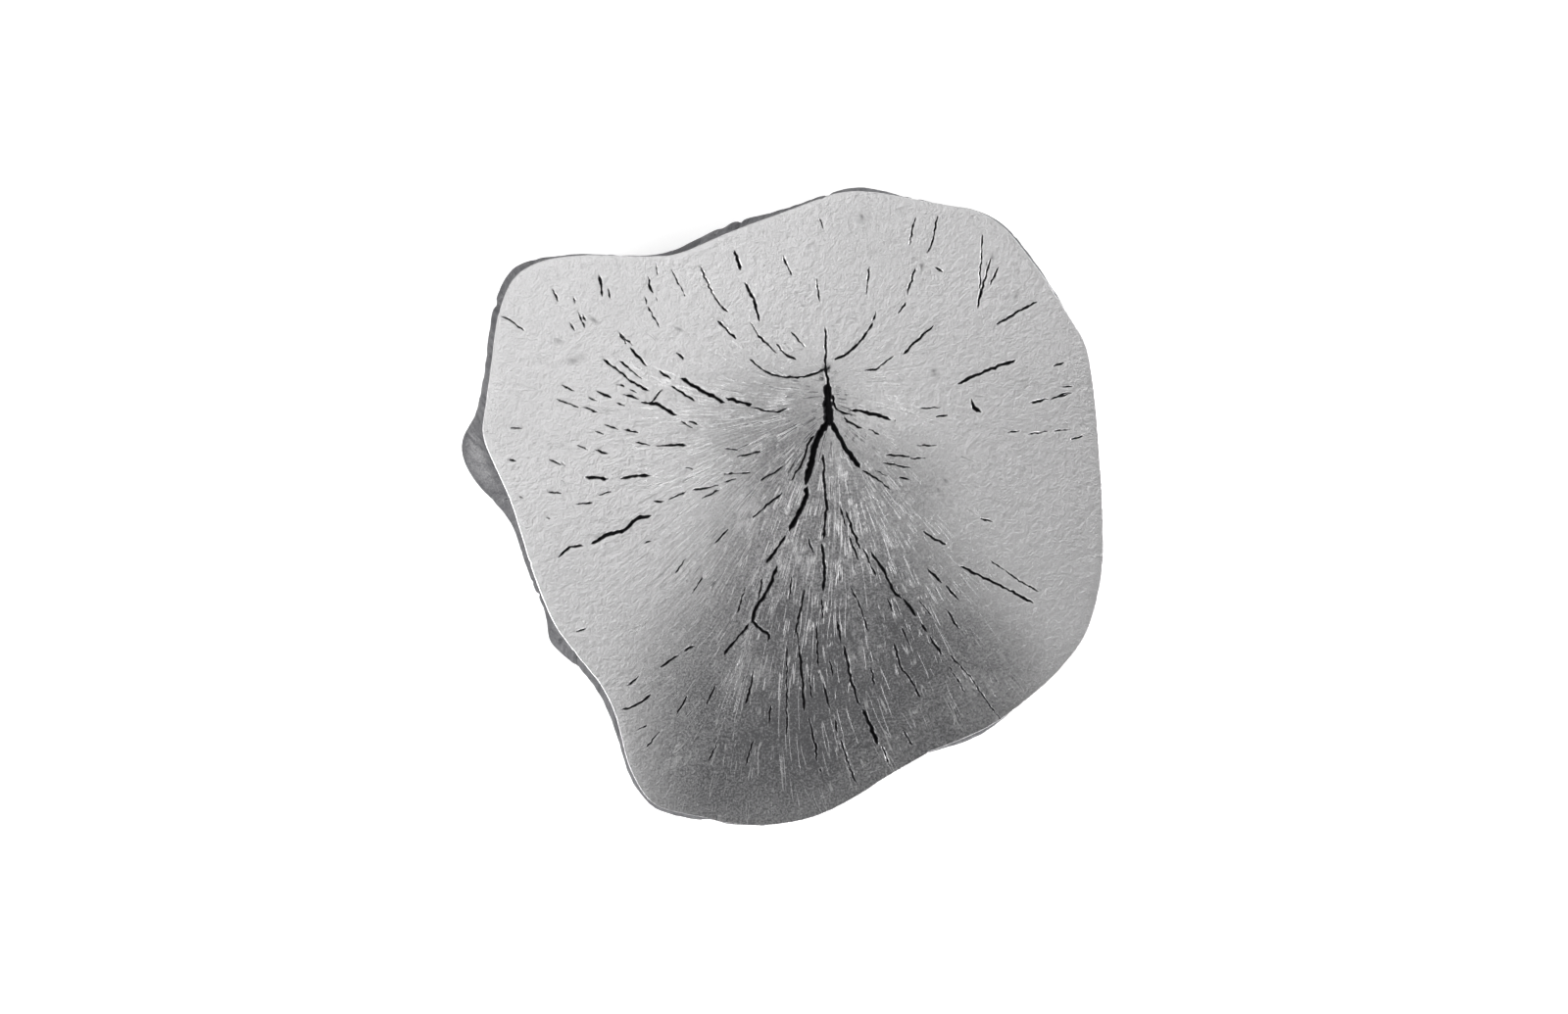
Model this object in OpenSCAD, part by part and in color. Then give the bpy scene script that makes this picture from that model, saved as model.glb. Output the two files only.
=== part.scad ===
// Hollow cast log stool: an irregular trunk wall, a checked end-grain cap, a
// timber base on four screw levellers. Millimetres, +Z up, floor at z = 0.

/* [Overall] */

// width of the cap across X
seat_w = 391; // [320:1:470]
// depth of the cap across Y
seat_d = 399; // [330:1:480]
// height of the cap's top face above the floor
stool_h = 450; // [370:1:540]

/* [Trunk wall] */

// thickness of the moulded wall
wall_t = 5; // [4:0.5:7]
// gap between the wall's bottom edge and the floor
floor_gap = 6; // [4:0.5:9]
// depth below the cap at which the trunk reaches its full girth
shoulder_h = 85; // [70:1:102]
// how far the foot of the trunk spreads past its middle
root_flare = 10; // [6:0.5:14]
// how far the large knot stands out of the wall
knot_a_reach = 18; // [12:0.5:24]
// half width of the large knot
knot_a_spread = 17; // [14:0.5:21]
// how far the small knot stands out of the wall
knot_b_reach = 10; // [6:0.5:13]
// half width of the small knot
knot_b_spread = 10; // [9:0.5:13]
// depth of the knots' centres below the wall's top edge
knot_drop = 98; // [85:1:118]

/* [Cap] */

// thickness of the cast cap
cap_t = 14; // [12:0.5:18]
// depth of the open drying checks in the cap
check_depth = 8; // [5:0.5:9]
// thickness of the cap's locating ring
spigot_t = 5; // [4:0.5:7]
// height of the cap's locating ring
spigot_h = 8; // [5:0.5:11]
// thickness of the plywood seat board
seat_board_t = 12; // [9:0.5:15]

/* [Base] */

// thickness of the plywood base board
base_board_t = 15; // [12:0.5:19]
// length of each cleat along the wall
cleat_len = 70; // [55:1:84]
// depth of each cleat from the wall inwards
cleat_w = 30; // [25:1:36]
// height of each cleat
cleat_h = 38; // [32:1:46]

/* [Levellers] */

// diameter of the levelling stud's thread
stud_d = 8; // [6.5:0.1:9.6]
// height of the levelling stud's hexagon
hex_t = 6; // [5:0.1:7.2]
// distance of each leveller's axis in from the wall's inner face
leveller_inset = 42; // [35:1:50]
// diameter of the nylon foot
foot_d = 28; // [24:0.5:34]
// thickness of the nylon foot
foot_t = 7; // [6:0.1:8.4]
// thickness of the felt sole
sole_t = 2; // [1.6:0.1:2.4]

/* [Screws] */

// diameter of the wood screws
screw_d = 4; // [3.5:0.1:4.8]
// diameter of the wood screws' pan heads
screw_head_d = 8; // [7.4:0.1:9.6]

/* [Hidden] */

$fn = 48;

// The cap's edge, counter-clockwise from +X: x, y, and how far the trunk
// bulges past the cap's edge at full girth on that bearing.
RIM = [[200, 0, 2], [198, 35, 3], [195, 70, 4], [190, 101, 6], [182, 115, 8],
       [167, 139, 9.5], [150, 162, 10.5], [137, 177, 10.5], [120, 187, 9.5],
       [98, 191, 9], [70, 196, 9.5], [49, 199, 11.5], [30, 197, 10.5],
       [0, 186, 10], [-31, 175, 13], [-62, 162, 11.5], [-84, 158, 8.5],
       [-124, 159, 9.5], [-150, 156, 12], [-166, 149, 14.5], [-174, 139, 14.5],
       [-181, 119, 14], [-185, 88, 13], [-189, 60, 13], [-190, 44, 13],
       [-182, 25, 12], [-171, 0, 11], [-162, -30, 10.5], [-152, -58, 9],
       [-141, -80, 9], [-115, -113, 11.5], [-105, -136, 11.5],
       [-98, -163, 11], [-84, -186, 10.5], [-62, -193, 11], [-34, -199, 9],
       [-10, -200, 8.5], [18, -195, 7], [45, -182, 6], [85, -157, 7],
       [113, -145, 10.5], [135, -134, 9], [165, -110, 4], [183, -90, 3],
       [193, -70, 2], [200, -38, 2]];
RIM_W = 391;          // the table's own width and depth
RIM_D = 399;
RIM_SHIFT = [2, -1];  // centres the finished trunk on the origin
STEPS = 3;            // points drawn for each point of the table

kx = seat_w / RIM_W;
ky = seat_d / RIM_D;
girth = (kx + ky) / 2;

// closed smooth curve through the table's points
function blend3(a, b, c, d, t) =
    0.5 * (2 * b + (c - a) * t + (2 * a - 5 * b + 4 * c - d) * t * t
           + (3 * b - a - 3 * c + d) * t * t * t);
function rim_raw(i, t, n = len(RIM)) =
    blend3(RIM[(i + n - 1) % n], RIM[i], RIM[(i + 1) % n], RIM[(i + 2) % n], t);
rim = [for (i = [0:len(RIM) - 1], s = [0:STEPS - 1])
       let (p = rim_raw(i, s / STEPS))
       [(p[0] + RIM_SHIFT[0]) * kx, (p[1] + RIM_SHIFT[1]) * ky, p[2] * girth]];
N = len(rim);

function flat(p) = [p[0], p[1]];
function ease(t) = let (u = min(1, max(0, t))) u * u * (3 - 2 * u);
function bearing(p) = atan2(p[1], p[0]);
function turn_gap(a, b) = abs((a - b + 540) % 360 - 180);
function nearest(angle, i = 0, best = 0) =
    i == N ? best
    : nearest(angle, i + 1,
              turn_gap(bearing(rim[i]), angle) < turn_gap(bearing(rim[best]), angle) ? i : best);

LEVELLER_AT = [43, 136, 226, 318];
RUN = 0.05;                         // radial running clearance
GAP = 0.4;                          // between faces that turn past each other
stud_r = stud_d / 2;
insert_r = stud_r + 1.6;
flange_t = 1.5;
hex_af = stud_d * 13 / 8;
foot_z = sole_t;
disc_r = stud_r + 2;                // the stud's disc held in the foot
disc_t = 2.6;
disc_z = foot_z + 1.6;
neck_r = stud_r - 0.7;
hex_z = foot_z + foot_t + GAP;
base_board_z = hex_z + hex_t + GAP + flange_t;
insert_h = base_board_t - 2;
travel = 10;
stud_top = base_board_z + insert_h + travel + 1;
cleat_z = base_board_z + base_board_t;

cap_z = stool_h - cap_t;      // the cap's underside and the wall's top edge
wall_h = cap_z - floor_gap;

// knots: bearing, reach, spread; each is taller than it is wide
KNOTS = [[172.6, knot_a_reach, knot_a_spread], [211.2, knot_b_reach, knot_b_spread]];
KNOT_TALL = 1.45;
knot_z = cap_z - knot_drop;
function knot_lift(p, z) =
    let (lifts = [for (k = KNOTS)
                  let (along = turn_gap(bearing(p), k[0]) * PI / 180 * norm(flat(p)),
                       d = norm([along, (z - knot_z) / KNOT_TALL]) / k[2])
                  k[1] * exp(-pow(d, 2.6) / 2)])
    max(lifts);

// how far the trunk stands out past the cap's edge at a height
function girth_out(p, z) =
    let (down = (cap_z - z) / wall_h,
         shoulder = p[2] * ease((cap_z - z) / shoulder_h),
         waist = -3 * girth * ease((down - 0.3) / 0.35),
         lobes = 0.75 + 0.25 * cos(3 * bearing(p) + 40),
         foot = root_flare * lobes * pow(max(0, (down - 0.45) / 0.55), 2))
    shoulder + waist + foot;
function stretch(p, out) = flat(p) * (1 + out / norm(flat(p)));
function outer_ring(z) = [for (p = rim) stretch(p, girth_out(p, z) + knot_lift(p, z))];
function plain_ring(z) = [for (p = rim) stretch(p, girth_out(p, z))];

// a ring moved square to itself, inwards by t
function inset(ring, t) =
    [for (i = [0:len(ring) - 1])
     let (a = ring[(i + len(ring) - 1) % len(ring)], b = ring[(i + 1) % len(ring)],
          d = (b - a) / norm(b - a))
     ring[i] + t * [-d[1], d[0]]];

cap_ring = [for (p = rim) flat(p)];
mouth_ring = inset(cap_ring, wall_t);
low_z = cleat_z + cleat_h + 8;                      // straight inside below this
high_z = cap_z - max(spigot_h, seat_board_t) - 18;  // and above this
inner_map = (cap_z - low_z) / (high_z - low_z);
base_ring = inset(plain_ring(low_z), wall_t);
function inner_ring(z) =
    z <= low_z + 0.01 ? base_ring
    : z >= high_z - 0.01 ? mouth_ring
    : inset(plain_ring(low_z + (z - low_z) * inner_map), wall_t);

module loft(rings, heights) {
    rows = len(rings);
    points = [for (r = [0:rows - 1], p = rings[r]) [p[0], p[1], heights[r]]];
    sides = [for (r = [0:rows - 2], i = [0:N - 1])
             let (j = (i + 1) % N, a = r * N + i, b = r * N + j)
             each [[a, a + N, b + N], [a, b + N, b]]];
    floor_face = [for (i = [0:N - 1]) i];
    roof_face = [for (i = [N - 1:-1:0]) (rows - 1) * N + i];
    polyhedron(points, concat([floor_face], sides, [roof_face]));
}

LOWER_ROWS = 7;    // rows of facets below the knots, and from there to the cap
UPPER_ROWS = 12;
INNER_ROWS = 6;
plain_z = knot_z - 3.2 * KNOT_TALL * knot_a_spread / 2;

module trunk_wall() {
    heights = concat([for (k = [0:LOWER_ROWS - 1])
                      floor_gap + (plain_z - floor_gap) * k / LOWER_ROWS],
                     [for (k = [0:UPPER_ROWS]) plain_z + (cap_z - plain_z) * k / UPPER_ROWS]);
    inner_heights = concat([floor_gap - 1],
                           [for (k = [0:INNER_ROWS]) low_z + (high_z - low_z) * k / INNER_ROWS],
                           [cap_z + 1]);
    color([0.72, 0.72, 0.73])
    difference() {
        loft([for (z = heights) outer_ring(z)], heights);
        loft([for (z = inner_heights) inner_ring(z)], inner_heights);
    }
}

// ---- cap -------------------------------------------------------------

seat_ring = inset(cap_ring, wall_t + 0.5 + spigot_t + 0.5);
SEAT_SCREWS = [35, 110, 165, 225, 275, 325];
screw_bite = cap_t - check_depth - 1;
screw_head_t = 2.4;
function seat_screw_at(angle) =
    let (p = rim[nearest(angle)]) stretch(p, -(wall_t + spigot_t + 24));

// checks: a centre line from the pith outwards, and its greatest width
CHECKS = [
    [[[29, 71], [27, 57], [28, 46]], 4.4],
    [[[27, 53], [22, 45], [18, 30], [13, 17]], 3.4],
    [[[15, 11], [7, -6], [2, -17], [-8, -33]], 2.6],
    [[[-5, -37], [-12, -57], [-18, -66], [-22, -77], [-32, -91]], 2.4],
    [[[30, 53], [36, 40], [47, 26], [59, 16]], 2.8],
    [[[33, 60], [42, 50], [54, 46]], 2],
    [[[24, 30], [26, 12], [24, -16], [25, -52]], 2.2],
    [[[54, -28], [64, -45], [79, -68], [90, -86]], 2.2],
    [[[-32, 162], [-25, 142], [-18, 124], [-13, 113]], 2],
    [[[-65, 81], [-50, 73], [-38, 68], [-21, 64]], 2.8],
    [[[-122, -23], [-106, -16], [-94, -8], [-83, -5]], 2.6],
    [[[109, 78], [122, 84], [145, 93]], 2.2],
    [[[34, -112], [38, -140], [43, -154]], 1.8],
    [[[56, -130], [60, -148]], 2.4],
];

module check_cut(line, width) {
    n = len(line);
    sides = [for (s = [1, -1], k = [1:n - 2])
             let (i = s > 0 ? k : n - 1 - k,
                  d = line[i + 1] - line[i - 1],
                  q = [-d[1], d[0]] / norm(d))
             line[i] + s * q * width / 2];
    mid = (line[0] + line[n - 1]) / 2;
    across = [line[0][1] - line[n - 1][1], line[n - 1][0] - line[0][0]] / norm(line[0] - line[n - 1]);
    upper = n > 2 ? [for (k = [0:n - 3]) sides[k]] : [mid + across * width / 2];
    lower = n > 2 ? [for (k = [n - 2:2 * n - 5]) sides[k]] : [mid - across * width / 2];
    outline = concat([line[0]], upper, [line[n - 1]], lower);
    translate([0, 0, stool_h - check_depth])
        linear_extrude(check_depth + 1)
            polygon([for (p = outline) [(p[0] + RIM_SHIFT[0]) * kx, (p[1] + RIM_SHIFT[1]) * ky]]);
}

module top_cap() {
    spigot_ring = inset(cap_ring, wall_t + 0.5);
    bore_ring = inset(cap_ring, wall_t + 0.5 + spigot_t);
    color([0.78, 0.78, 0.79])
    difference() {
        union() {
            translate([0, 0, cap_z])
                linear_extrude(cap_t)
                    polygon(cap_ring);
            translate([0, 0, cap_z - spigot_h])
                linear_extrude(spigot_h + 1)
                    polygon(spigot_ring);
        }
        translate([0, 0, cap_z - spigot_h - 1])
            linear_extrude(spigot_h + 1)
                polygon(bore_ring);
        for (c = CHECKS)
            check_cut(c[0], c[1]);
        for (a = SEAT_SCREWS)
            translate(concat(seat_screw_at(a), [cap_z - 1]))
                cylinder(d = screw_d, h = screw_bite + 1.4);
    }
}

module seat_board() {
    color([0.74, 0.60, 0.42])
    difference() {
        translate([0, 0, cap_z - seat_board_t])
            linear_extrude(seat_board_t)
                polygon(seat_ring);
        for (a = SEAT_SCREWS)
            translate(concat(seat_screw_at(a), [cap_z - seat_board_t - 1]))
                cylinder(d = screw_d + 0.2, h = seat_board_t + 2);
    }
}

// a pan-head wood screw, head down, its bearing face at z = 0
module wood_screw(length) {
    head_r = screw_head_d / 2;
    r = screw_d / 2;
    slot_w = 1.2;
    difference() {
        rotate_extrude()
            polygon([[0, -screw_head_t], [head_r * 0.62, -screw_head_t],
                     [head_r, -screw_head_t * 0.45], [head_r, 0], [r, 0],
                     [r, length - r], [0.4, length], [0, length]]);
        for (a = [0, 90])
            rotate([0, 0, a])
                translate([-screw_head_d * 0.28, -slot_w / 2, -screw_head_t - 1])
                    cube([screw_head_d * 0.56, slot_w, 2.2]);
    }
}

module seat_screws() {
    color([0.62, 0.62, 0.60])
    for (a = SEAT_SCREWS)
        translate(concat(seat_screw_at(a), [cap_z - seat_board_t]))
            wood_screw(seat_board_t + screw_bite);
}

// ---- base ------------------------------------------------------------

CLEAT_AT = [3, 90, 182, 273];
cleat_screw_bite = 24;

// places something on a cleat, with +X out of the trunk and +Y along the wall
module at_cleat(n) {
    i = nearest(CLEAT_AT[n - 1]);
    reach = norm(base_ring[i]);
    rotate([0, 0, bearing(base_ring[i])])
        translate([reach, 0, cleat_z])
            children();
}

module cleat(n) {
    color([0.80, 0.66, 0.45])
    difference() {
        intersection() {
            at_cleat(n)
                translate([-cleat_w, -cleat_len / 2, 0])
                    cube([cleat_w + 30, cleat_len, cleat_h]);
            translate([0, 0, cleat_z - 1])
                linear_extrude(cleat_h + 2)
                    polygon(base_ring);
        }
        cleat_screw_holes(n, screw_d / 2, cleat_screw_bite + 1);
    }
}

module cleat_screw_holes(n, r, depth) {
    at_cleat(n)
        for (s = [-1, 1])
            translate([-cleat_w * 0.55, s * cleat_len * 0.26, -1])
                cylinder(r = r, h = depth + 1);
}

module cleat_screws() {
    color([0.62, 0.62, 0.60])
    for (n = [1:4])
        at_cleat(n)
            for (s = [-1, 1])
                translate([-cleat_w * 0.55, s * cleat_len * 0.26, -base_board_t])
                    wood_screw(base_board_t + cleat_screw_bite);
}

module base_board() {
    color([0.74, 0.60, 0.42])
    difference() {
        translate([0, 0, base_board_z])
            linear_extrude(base_board_t)
                polygon(inset(base_ring, 0.8));
        for (n = [1:4])
            translate([0, 0, -base_board_t])
                cleat_screw_holes(n, screw_d / 2 + 0.1, base_board_t + 1);
        for (n = [1:4])
            at_leveller(n)
                translate([0, 0, base_board_z - 1])
                    cylinder(r = insert_r, h = base_board_t + 2);
        for (x = [-1, 1])
            translate([x * 28, 0, base_board_z - 1])
                cylinder(r = 6, h = base_board_t + 2);
    }
}

// ---- levellers ---------------------------------------------------------

module at_leveller(n) {
    p = base_ring[nearest(LEVELLER_AT[n - 1])];
    translate(p * (1 - leveller_inset / norm(p)))
        children();
}

module insert(n) {
    color([0.66, 0.66, 0.64])
    at_leveller(n)
        translate([0, 0, base_board_z])
            difference() {
                union() {
                    translate([0, 0, -flange_t])
                        cylinder(r = insert_r + 3.2, h = flange_t);
                    translate([0, 0, -0.5])
                        cylinder(r = insert_r, h = insert_h + 0.5);
                }
                translate([0, 0, -flange_t - 1])
                    cylinder(r = stud_r + RUN, h = insert_h + flange_t + 2);
            }
}

module levelling_stud(n) {
    color([0.66, 0.66, 0.64])
    at_leveller(n) {
        translate([0, 0, disc_z])
            cylinder(r = disc_r, h = disc_t);
        translate([0, 0, disc_z])
            cylinder(r = neck_r, h = hex_z - disc_z + 0.5);
        translate([0, 0, hex_z])
            cylinder(d = hex_af / cos(30), h = hex_t, $fn = 6);
        translate([0, 0, hex_z + hex_t - 0.5])
            rotate_extrude()
                polygon([[0, 0], [stud_r, 0], [stud_r, stud_top - hex_z - hex_t - 0.5],
                         [stud_r - 1, stud_top - hex_z - hex_t + 0.5],
                         [0, stud_top - hex_z - hex_t + 0.5]]);
    }
}

module foot(n) {
    pocket_r = disc_r + RUN;
    lip_r = neck_r + RUN;
    top = foot_t;
    pocket_low = disc_z - foot_z - RUN;
    pocket_high = disc_z - foot_z + disc_t + RUN;
    color([0.13, 0.13, 0.14])
    at_leveller(n)
        translate([0, 0, foot_z])
            rotate_extrude()
                polygon([[0, 0], [foot_d / 2, 0], [foot_d / 2, top * 0.45],
                         [foot_d / 2 - 1.2, top * 0.45 + 1.2], [disc_r + 2.6, top],
                         [lip_r, top], [lip_r, pocket_high], [pocket_r, pocket_high],
                         [pocket_r, pocket_low], [0, pocket_low]]);
}

module sole(n) {
    color([0.32, 0.31, 0.30])
    at_leveller(n)
        cylinder(d = foot_d - 1, h = sole_t);
}

trunk_wall();
top_cap();
seat_board();
seat_screws();
base_board();
cleat(1);  // cleat_1
cleat(2);  // cleat_2
cleat(3);  // cleat_3
cleat(4);  // cleat_4
cleat_screws();
insert(1);  // insert_1
insert(2);  // insert_2
insert(3);  // insert_3
insert(4);  // insert_4
levelling_stud(1);  // levelling_stud_1
levelling_stud(2);  // levelling_stud_2
levelling_stud(3);  // levelling_stud_3
levelling_stud(4);  // levelling_stud_4
foot(1);  // foot_1
foot(2);  // foot_2
foot(3);  // foot_3
foot(4);  // foot_4
sole(1);  // sole_1
sole(2);  // sole_2
sole(3);  // sole_3
sole(4);  // sole_4
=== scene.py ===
"""Looks of the hollow cast log stool in silver leaf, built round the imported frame.

The cap and the trunk wall are remade as dense meshes with end grain, drying
checks and long grain. The timber, steel, nylon and felt pieces keep their
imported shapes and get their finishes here, apart from the levelling studs, which
are remade with a cut thread. Sizes in the classes are millimetres unless a
comment says otherwise, and meshes are metres.
"""

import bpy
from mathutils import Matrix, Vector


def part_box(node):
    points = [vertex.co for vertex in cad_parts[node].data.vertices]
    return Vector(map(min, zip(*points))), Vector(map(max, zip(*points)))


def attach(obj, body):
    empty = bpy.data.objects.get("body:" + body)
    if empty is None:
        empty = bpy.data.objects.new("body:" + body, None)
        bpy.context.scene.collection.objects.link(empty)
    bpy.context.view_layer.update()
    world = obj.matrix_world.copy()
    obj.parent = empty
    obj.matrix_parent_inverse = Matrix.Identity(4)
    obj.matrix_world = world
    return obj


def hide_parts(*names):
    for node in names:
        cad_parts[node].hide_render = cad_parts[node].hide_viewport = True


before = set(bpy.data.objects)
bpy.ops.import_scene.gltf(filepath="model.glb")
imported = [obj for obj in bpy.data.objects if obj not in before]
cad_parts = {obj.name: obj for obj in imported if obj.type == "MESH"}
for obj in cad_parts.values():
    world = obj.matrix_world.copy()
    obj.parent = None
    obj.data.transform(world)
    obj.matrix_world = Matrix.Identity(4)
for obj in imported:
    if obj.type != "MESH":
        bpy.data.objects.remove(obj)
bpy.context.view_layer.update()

import logging
import math
from dataclasses import dataclass, field
from enum import Enum
from typing import Any, Sequence

import bmesh
import bpy
import numpy as np
from mathutils import Vector
from mathutils.bvhtree import BVHTree

LOG = logging.getLogger("log_stool")
MM = 0.001
STOOL_HIGH = 0.45      # metres, and the length that the grain map counts in
Array = np.ndarray


class Body(Enum):
    """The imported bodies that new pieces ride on."""

    STOOL = "stool"
    STUD = "leveller_stud"


class Slot(Enum):
    """The record's material slots."""

    SILVER_LEAF = "silver_leaf"
    PLYWOOD = "plywood"
    SOFTWOOD = "softwood"
    ZINC_STEEL = "zinc_steel"
    NYLON = "nylon"
    FELT = "felt"


# ---------------------------------------------------------------- shader maths


class Sock:
    """One output of a shader node, with arithmetic."""

    def __init__(self, graph: "Graph", socket: bpy.types.NodeSocket) -> None:
        """Wraps a socket.

        Args:
            graph: the graph that the socket's node belongs to.
            socket: the output to wrap.
        """
        self.graph = graph
        self.socket = socket

    def _math(self, operation: str, *values: Any) -> "Sock":
        """A Math node on this and other values."""
        inputs = dict(enumerate(values))
        return self.graph.add("ShaderNodeMath", {"operation": operation}, inputs)

    def __add__(self, other: Any) -> "Sock":
        """Sum."""
        return self._math("ADD", self, other)

    __radd__ = __add__

    def __sub__(self, other: Any) -> "Sock":
        """Difference."""
        return self._math("SUBTRACT", self, other)

    def __rsub__(self, other: Any) -> "Sock":
        """Difference, the other way round."""
        return self._math("SUBTRACT", other, self)

    def __mul__(self, other: Any) -> "Sock":
        """Product."""
        return self._math("MULTIPLY", self, other)

    __rmul__ = __mul__

    def __pow__(self, other: Any) -> "Sock":
        """Power."""
        return self._math("POWER", self, other)

    def __abs__(self) -> "Sock":
        """Size without its sign."""
        return self._math("ABSOLUTE", self)

    def sin(self) -> "Sock":
        """Sine of a value in radians."""
        return self._math("SINE", self)

    def cos(self) -> "Sock":
        """Cosine of a value in radians."""
        return self._math("COSINE", self)

    def floor(self) -> "Sock":
        """The whole number at or below the value."""
        return self._math("FLOOR", self)

    def most(self, other: Any) -> "Sock":
        """The larger of two values."""
        return self._math("MAXIMUM", self, other)

    def least(self, other: Any) -> "Sock":
        """The smaller of two values."""
        return self._math("MINIMUM", self, other)

    def step(self, low: float, high: float, to_low: float = 0.0, to_high: float = 1.0) -> "Sock":
        """A smooth step.

        Args:
            low: the value where the step starts.
            high: the value where it ends.
            to_low: what it gives at and before low.
            to_high: what it gives at and past high.

        Returns:
            The stepped value.
        """
        return self.graph.add(
            "ShaderNodeMapRange",
            {"interpolation_type": "SMOOTHSTEP", "clamp": True},
            {
                "Value": self, "From Min": low, "From Max": high,
                "To Min": to_low, "To Max": to_high,
            },
        )


class Graph:
    """A material's node tree, written as expressions."""

    def __init__(self, name: str) -> None:
        """Makes an empty node material.

        Args:
            name: the material's name.
        """
        self.material = bpy.data.materials.new(name)
        self.material.use_nodes = True
        self.tree = self.material.node_tree
        self.tree.nodes.clear()

    def add(
        self,
        kind: str,
        settings: dict[str, Any] | None = None,
        inputs: dict[Any, Any] | None = None,
        out: Any = 0,
    ) -> Sock:
        """Adds a node, sets it, then joins its sockets.

        Args:
            kind: the node's type.
            settings: its properties.
            inputs: values or Socks by the socket's name or number.
            out: the name or number of the output to return.

        Returns:
            The chosen output.
        """
        node = self.tree.nodes.new(kind)
        for key, value in (settings or {}).items():
            setattr(node, key, value)
        for key, value in (inputs or {}).items():
            socket = node.inputs[key]
            if isinstance(value, Sock):
                self.tree.links.new(value.socket, socket)
            else:
                socket.default_value = value
        return Sock(self, node.outputs[out])

    def position(self) -> Sock:
        """Object coordinates, in metres."""
        return self.add("ShaderNodeTexCoord", out="Object")

    def split(self, vector: Sock) -> tuple[Sock, Sock, Sock]:
        """The three numbers of a vector."""
        first = self.add("ShaderNodeSeparateXYZ", inputs={0: vector})
        return tuple(Sock(self, output) for output in first.socket.node.outputs)

    def join(self, x: Any, y: Any, z: Any) -> Sock:
        """A vector from three numbers."""
        return self.add("ShaderNodeCombineXYZ", inputs={0: x, 1: y, 2: z})

    def noise(self, place: Sock, scale: float, detail: float = 3.0, rough: float = 0.5) -> Sock:
        """Noise from 0 to 1.

        Args:
            place: the coordinates.
            scale: how many lumps there are to a unit.
            detail: octaves.
            rough: how strong the finer octaves are.

        Returns:
            The noise value.
        """
        inputs = {"Vector": place, "Scale": scale, "Detail": detail, "Roughness": rough}
        return self.add("ShaderNodeTexNoise", {"noise_dimensions": "3D"}, inputs)

    def blend(self, share: Any, first: Any, second: Any) -> Sock:
        """Mixes two colours.

        Args:
            share: how much of the second there is, from 0 to 1.
            first: a colour or a Sock.
            second: a colour or a Sock.

        Returns:
            The mixed colour.
        """
        inputs = {0: share, 6: self._rgba(first), 7: self._rgba(second)}
        return self.add("ShaderNodeMix", {"data_type": "RGBA"}, inputs, out=2)

    @staticmethod
    def _rgba(colour: Any) -> Any:
        """A colour with its fourth number."""
        return colour if isinstance(colour, Sock) else (*colour, 1.0)

    def lerp(self, share: Sock, first: Sock, second: Sock) -> Sock:
        """Mixes two numbers by a share from 0 to 1."""
        return first + (second - first) * share

    def stretch(self, vector: Sock, by: tuple[float, float, float]) -> Sock:
        """A vector multiplied by three numbers."""
        return self.add("ShaderNodeVectorMath", {"operation": "MULTIPLY"}, {0: vector, 1: by})

    def bump(self, height: Sock, depth: float, strength: float = 1.0) -> Sock:
        """A normal from a height.

        Args:
            height: the height, where 1 is one depth.
            depth: the depth in metres.
            strength: how much of it shows.

        Returns:
            The bumped normal.
        """
        inputs = {"Strength": strength, "Distance": depth, "Height": height}
        return self.add("ShaderNodeBump", inputs=inputs)

    def surface(self, **inputs: Any) -> bpy.types.Material:
        """Ends the graph in a Principled shader.

        Args:
            **inputs: values or Socks, named as the shader's sockets with _ for a space.

        Returns:
            The finished material.
        """
        named = {key.replace("_", " "): value for key, value in inputs.items()}
        shader = self.add("ShaderNodeBsdfPrincipled", inputs=named)
        self.add_output(shader)
        return self.material

    def add_output(self, shader: Sock) -> None:
        """Joins a shader to the material's output."""
        output = self.tree.nodes.new("ShaderNodeOutputMaterial")
        self.tree.links.new(shader.socket, output.inputs["Surface"])


# ------------------------------------------------------------------- finishes


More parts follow.
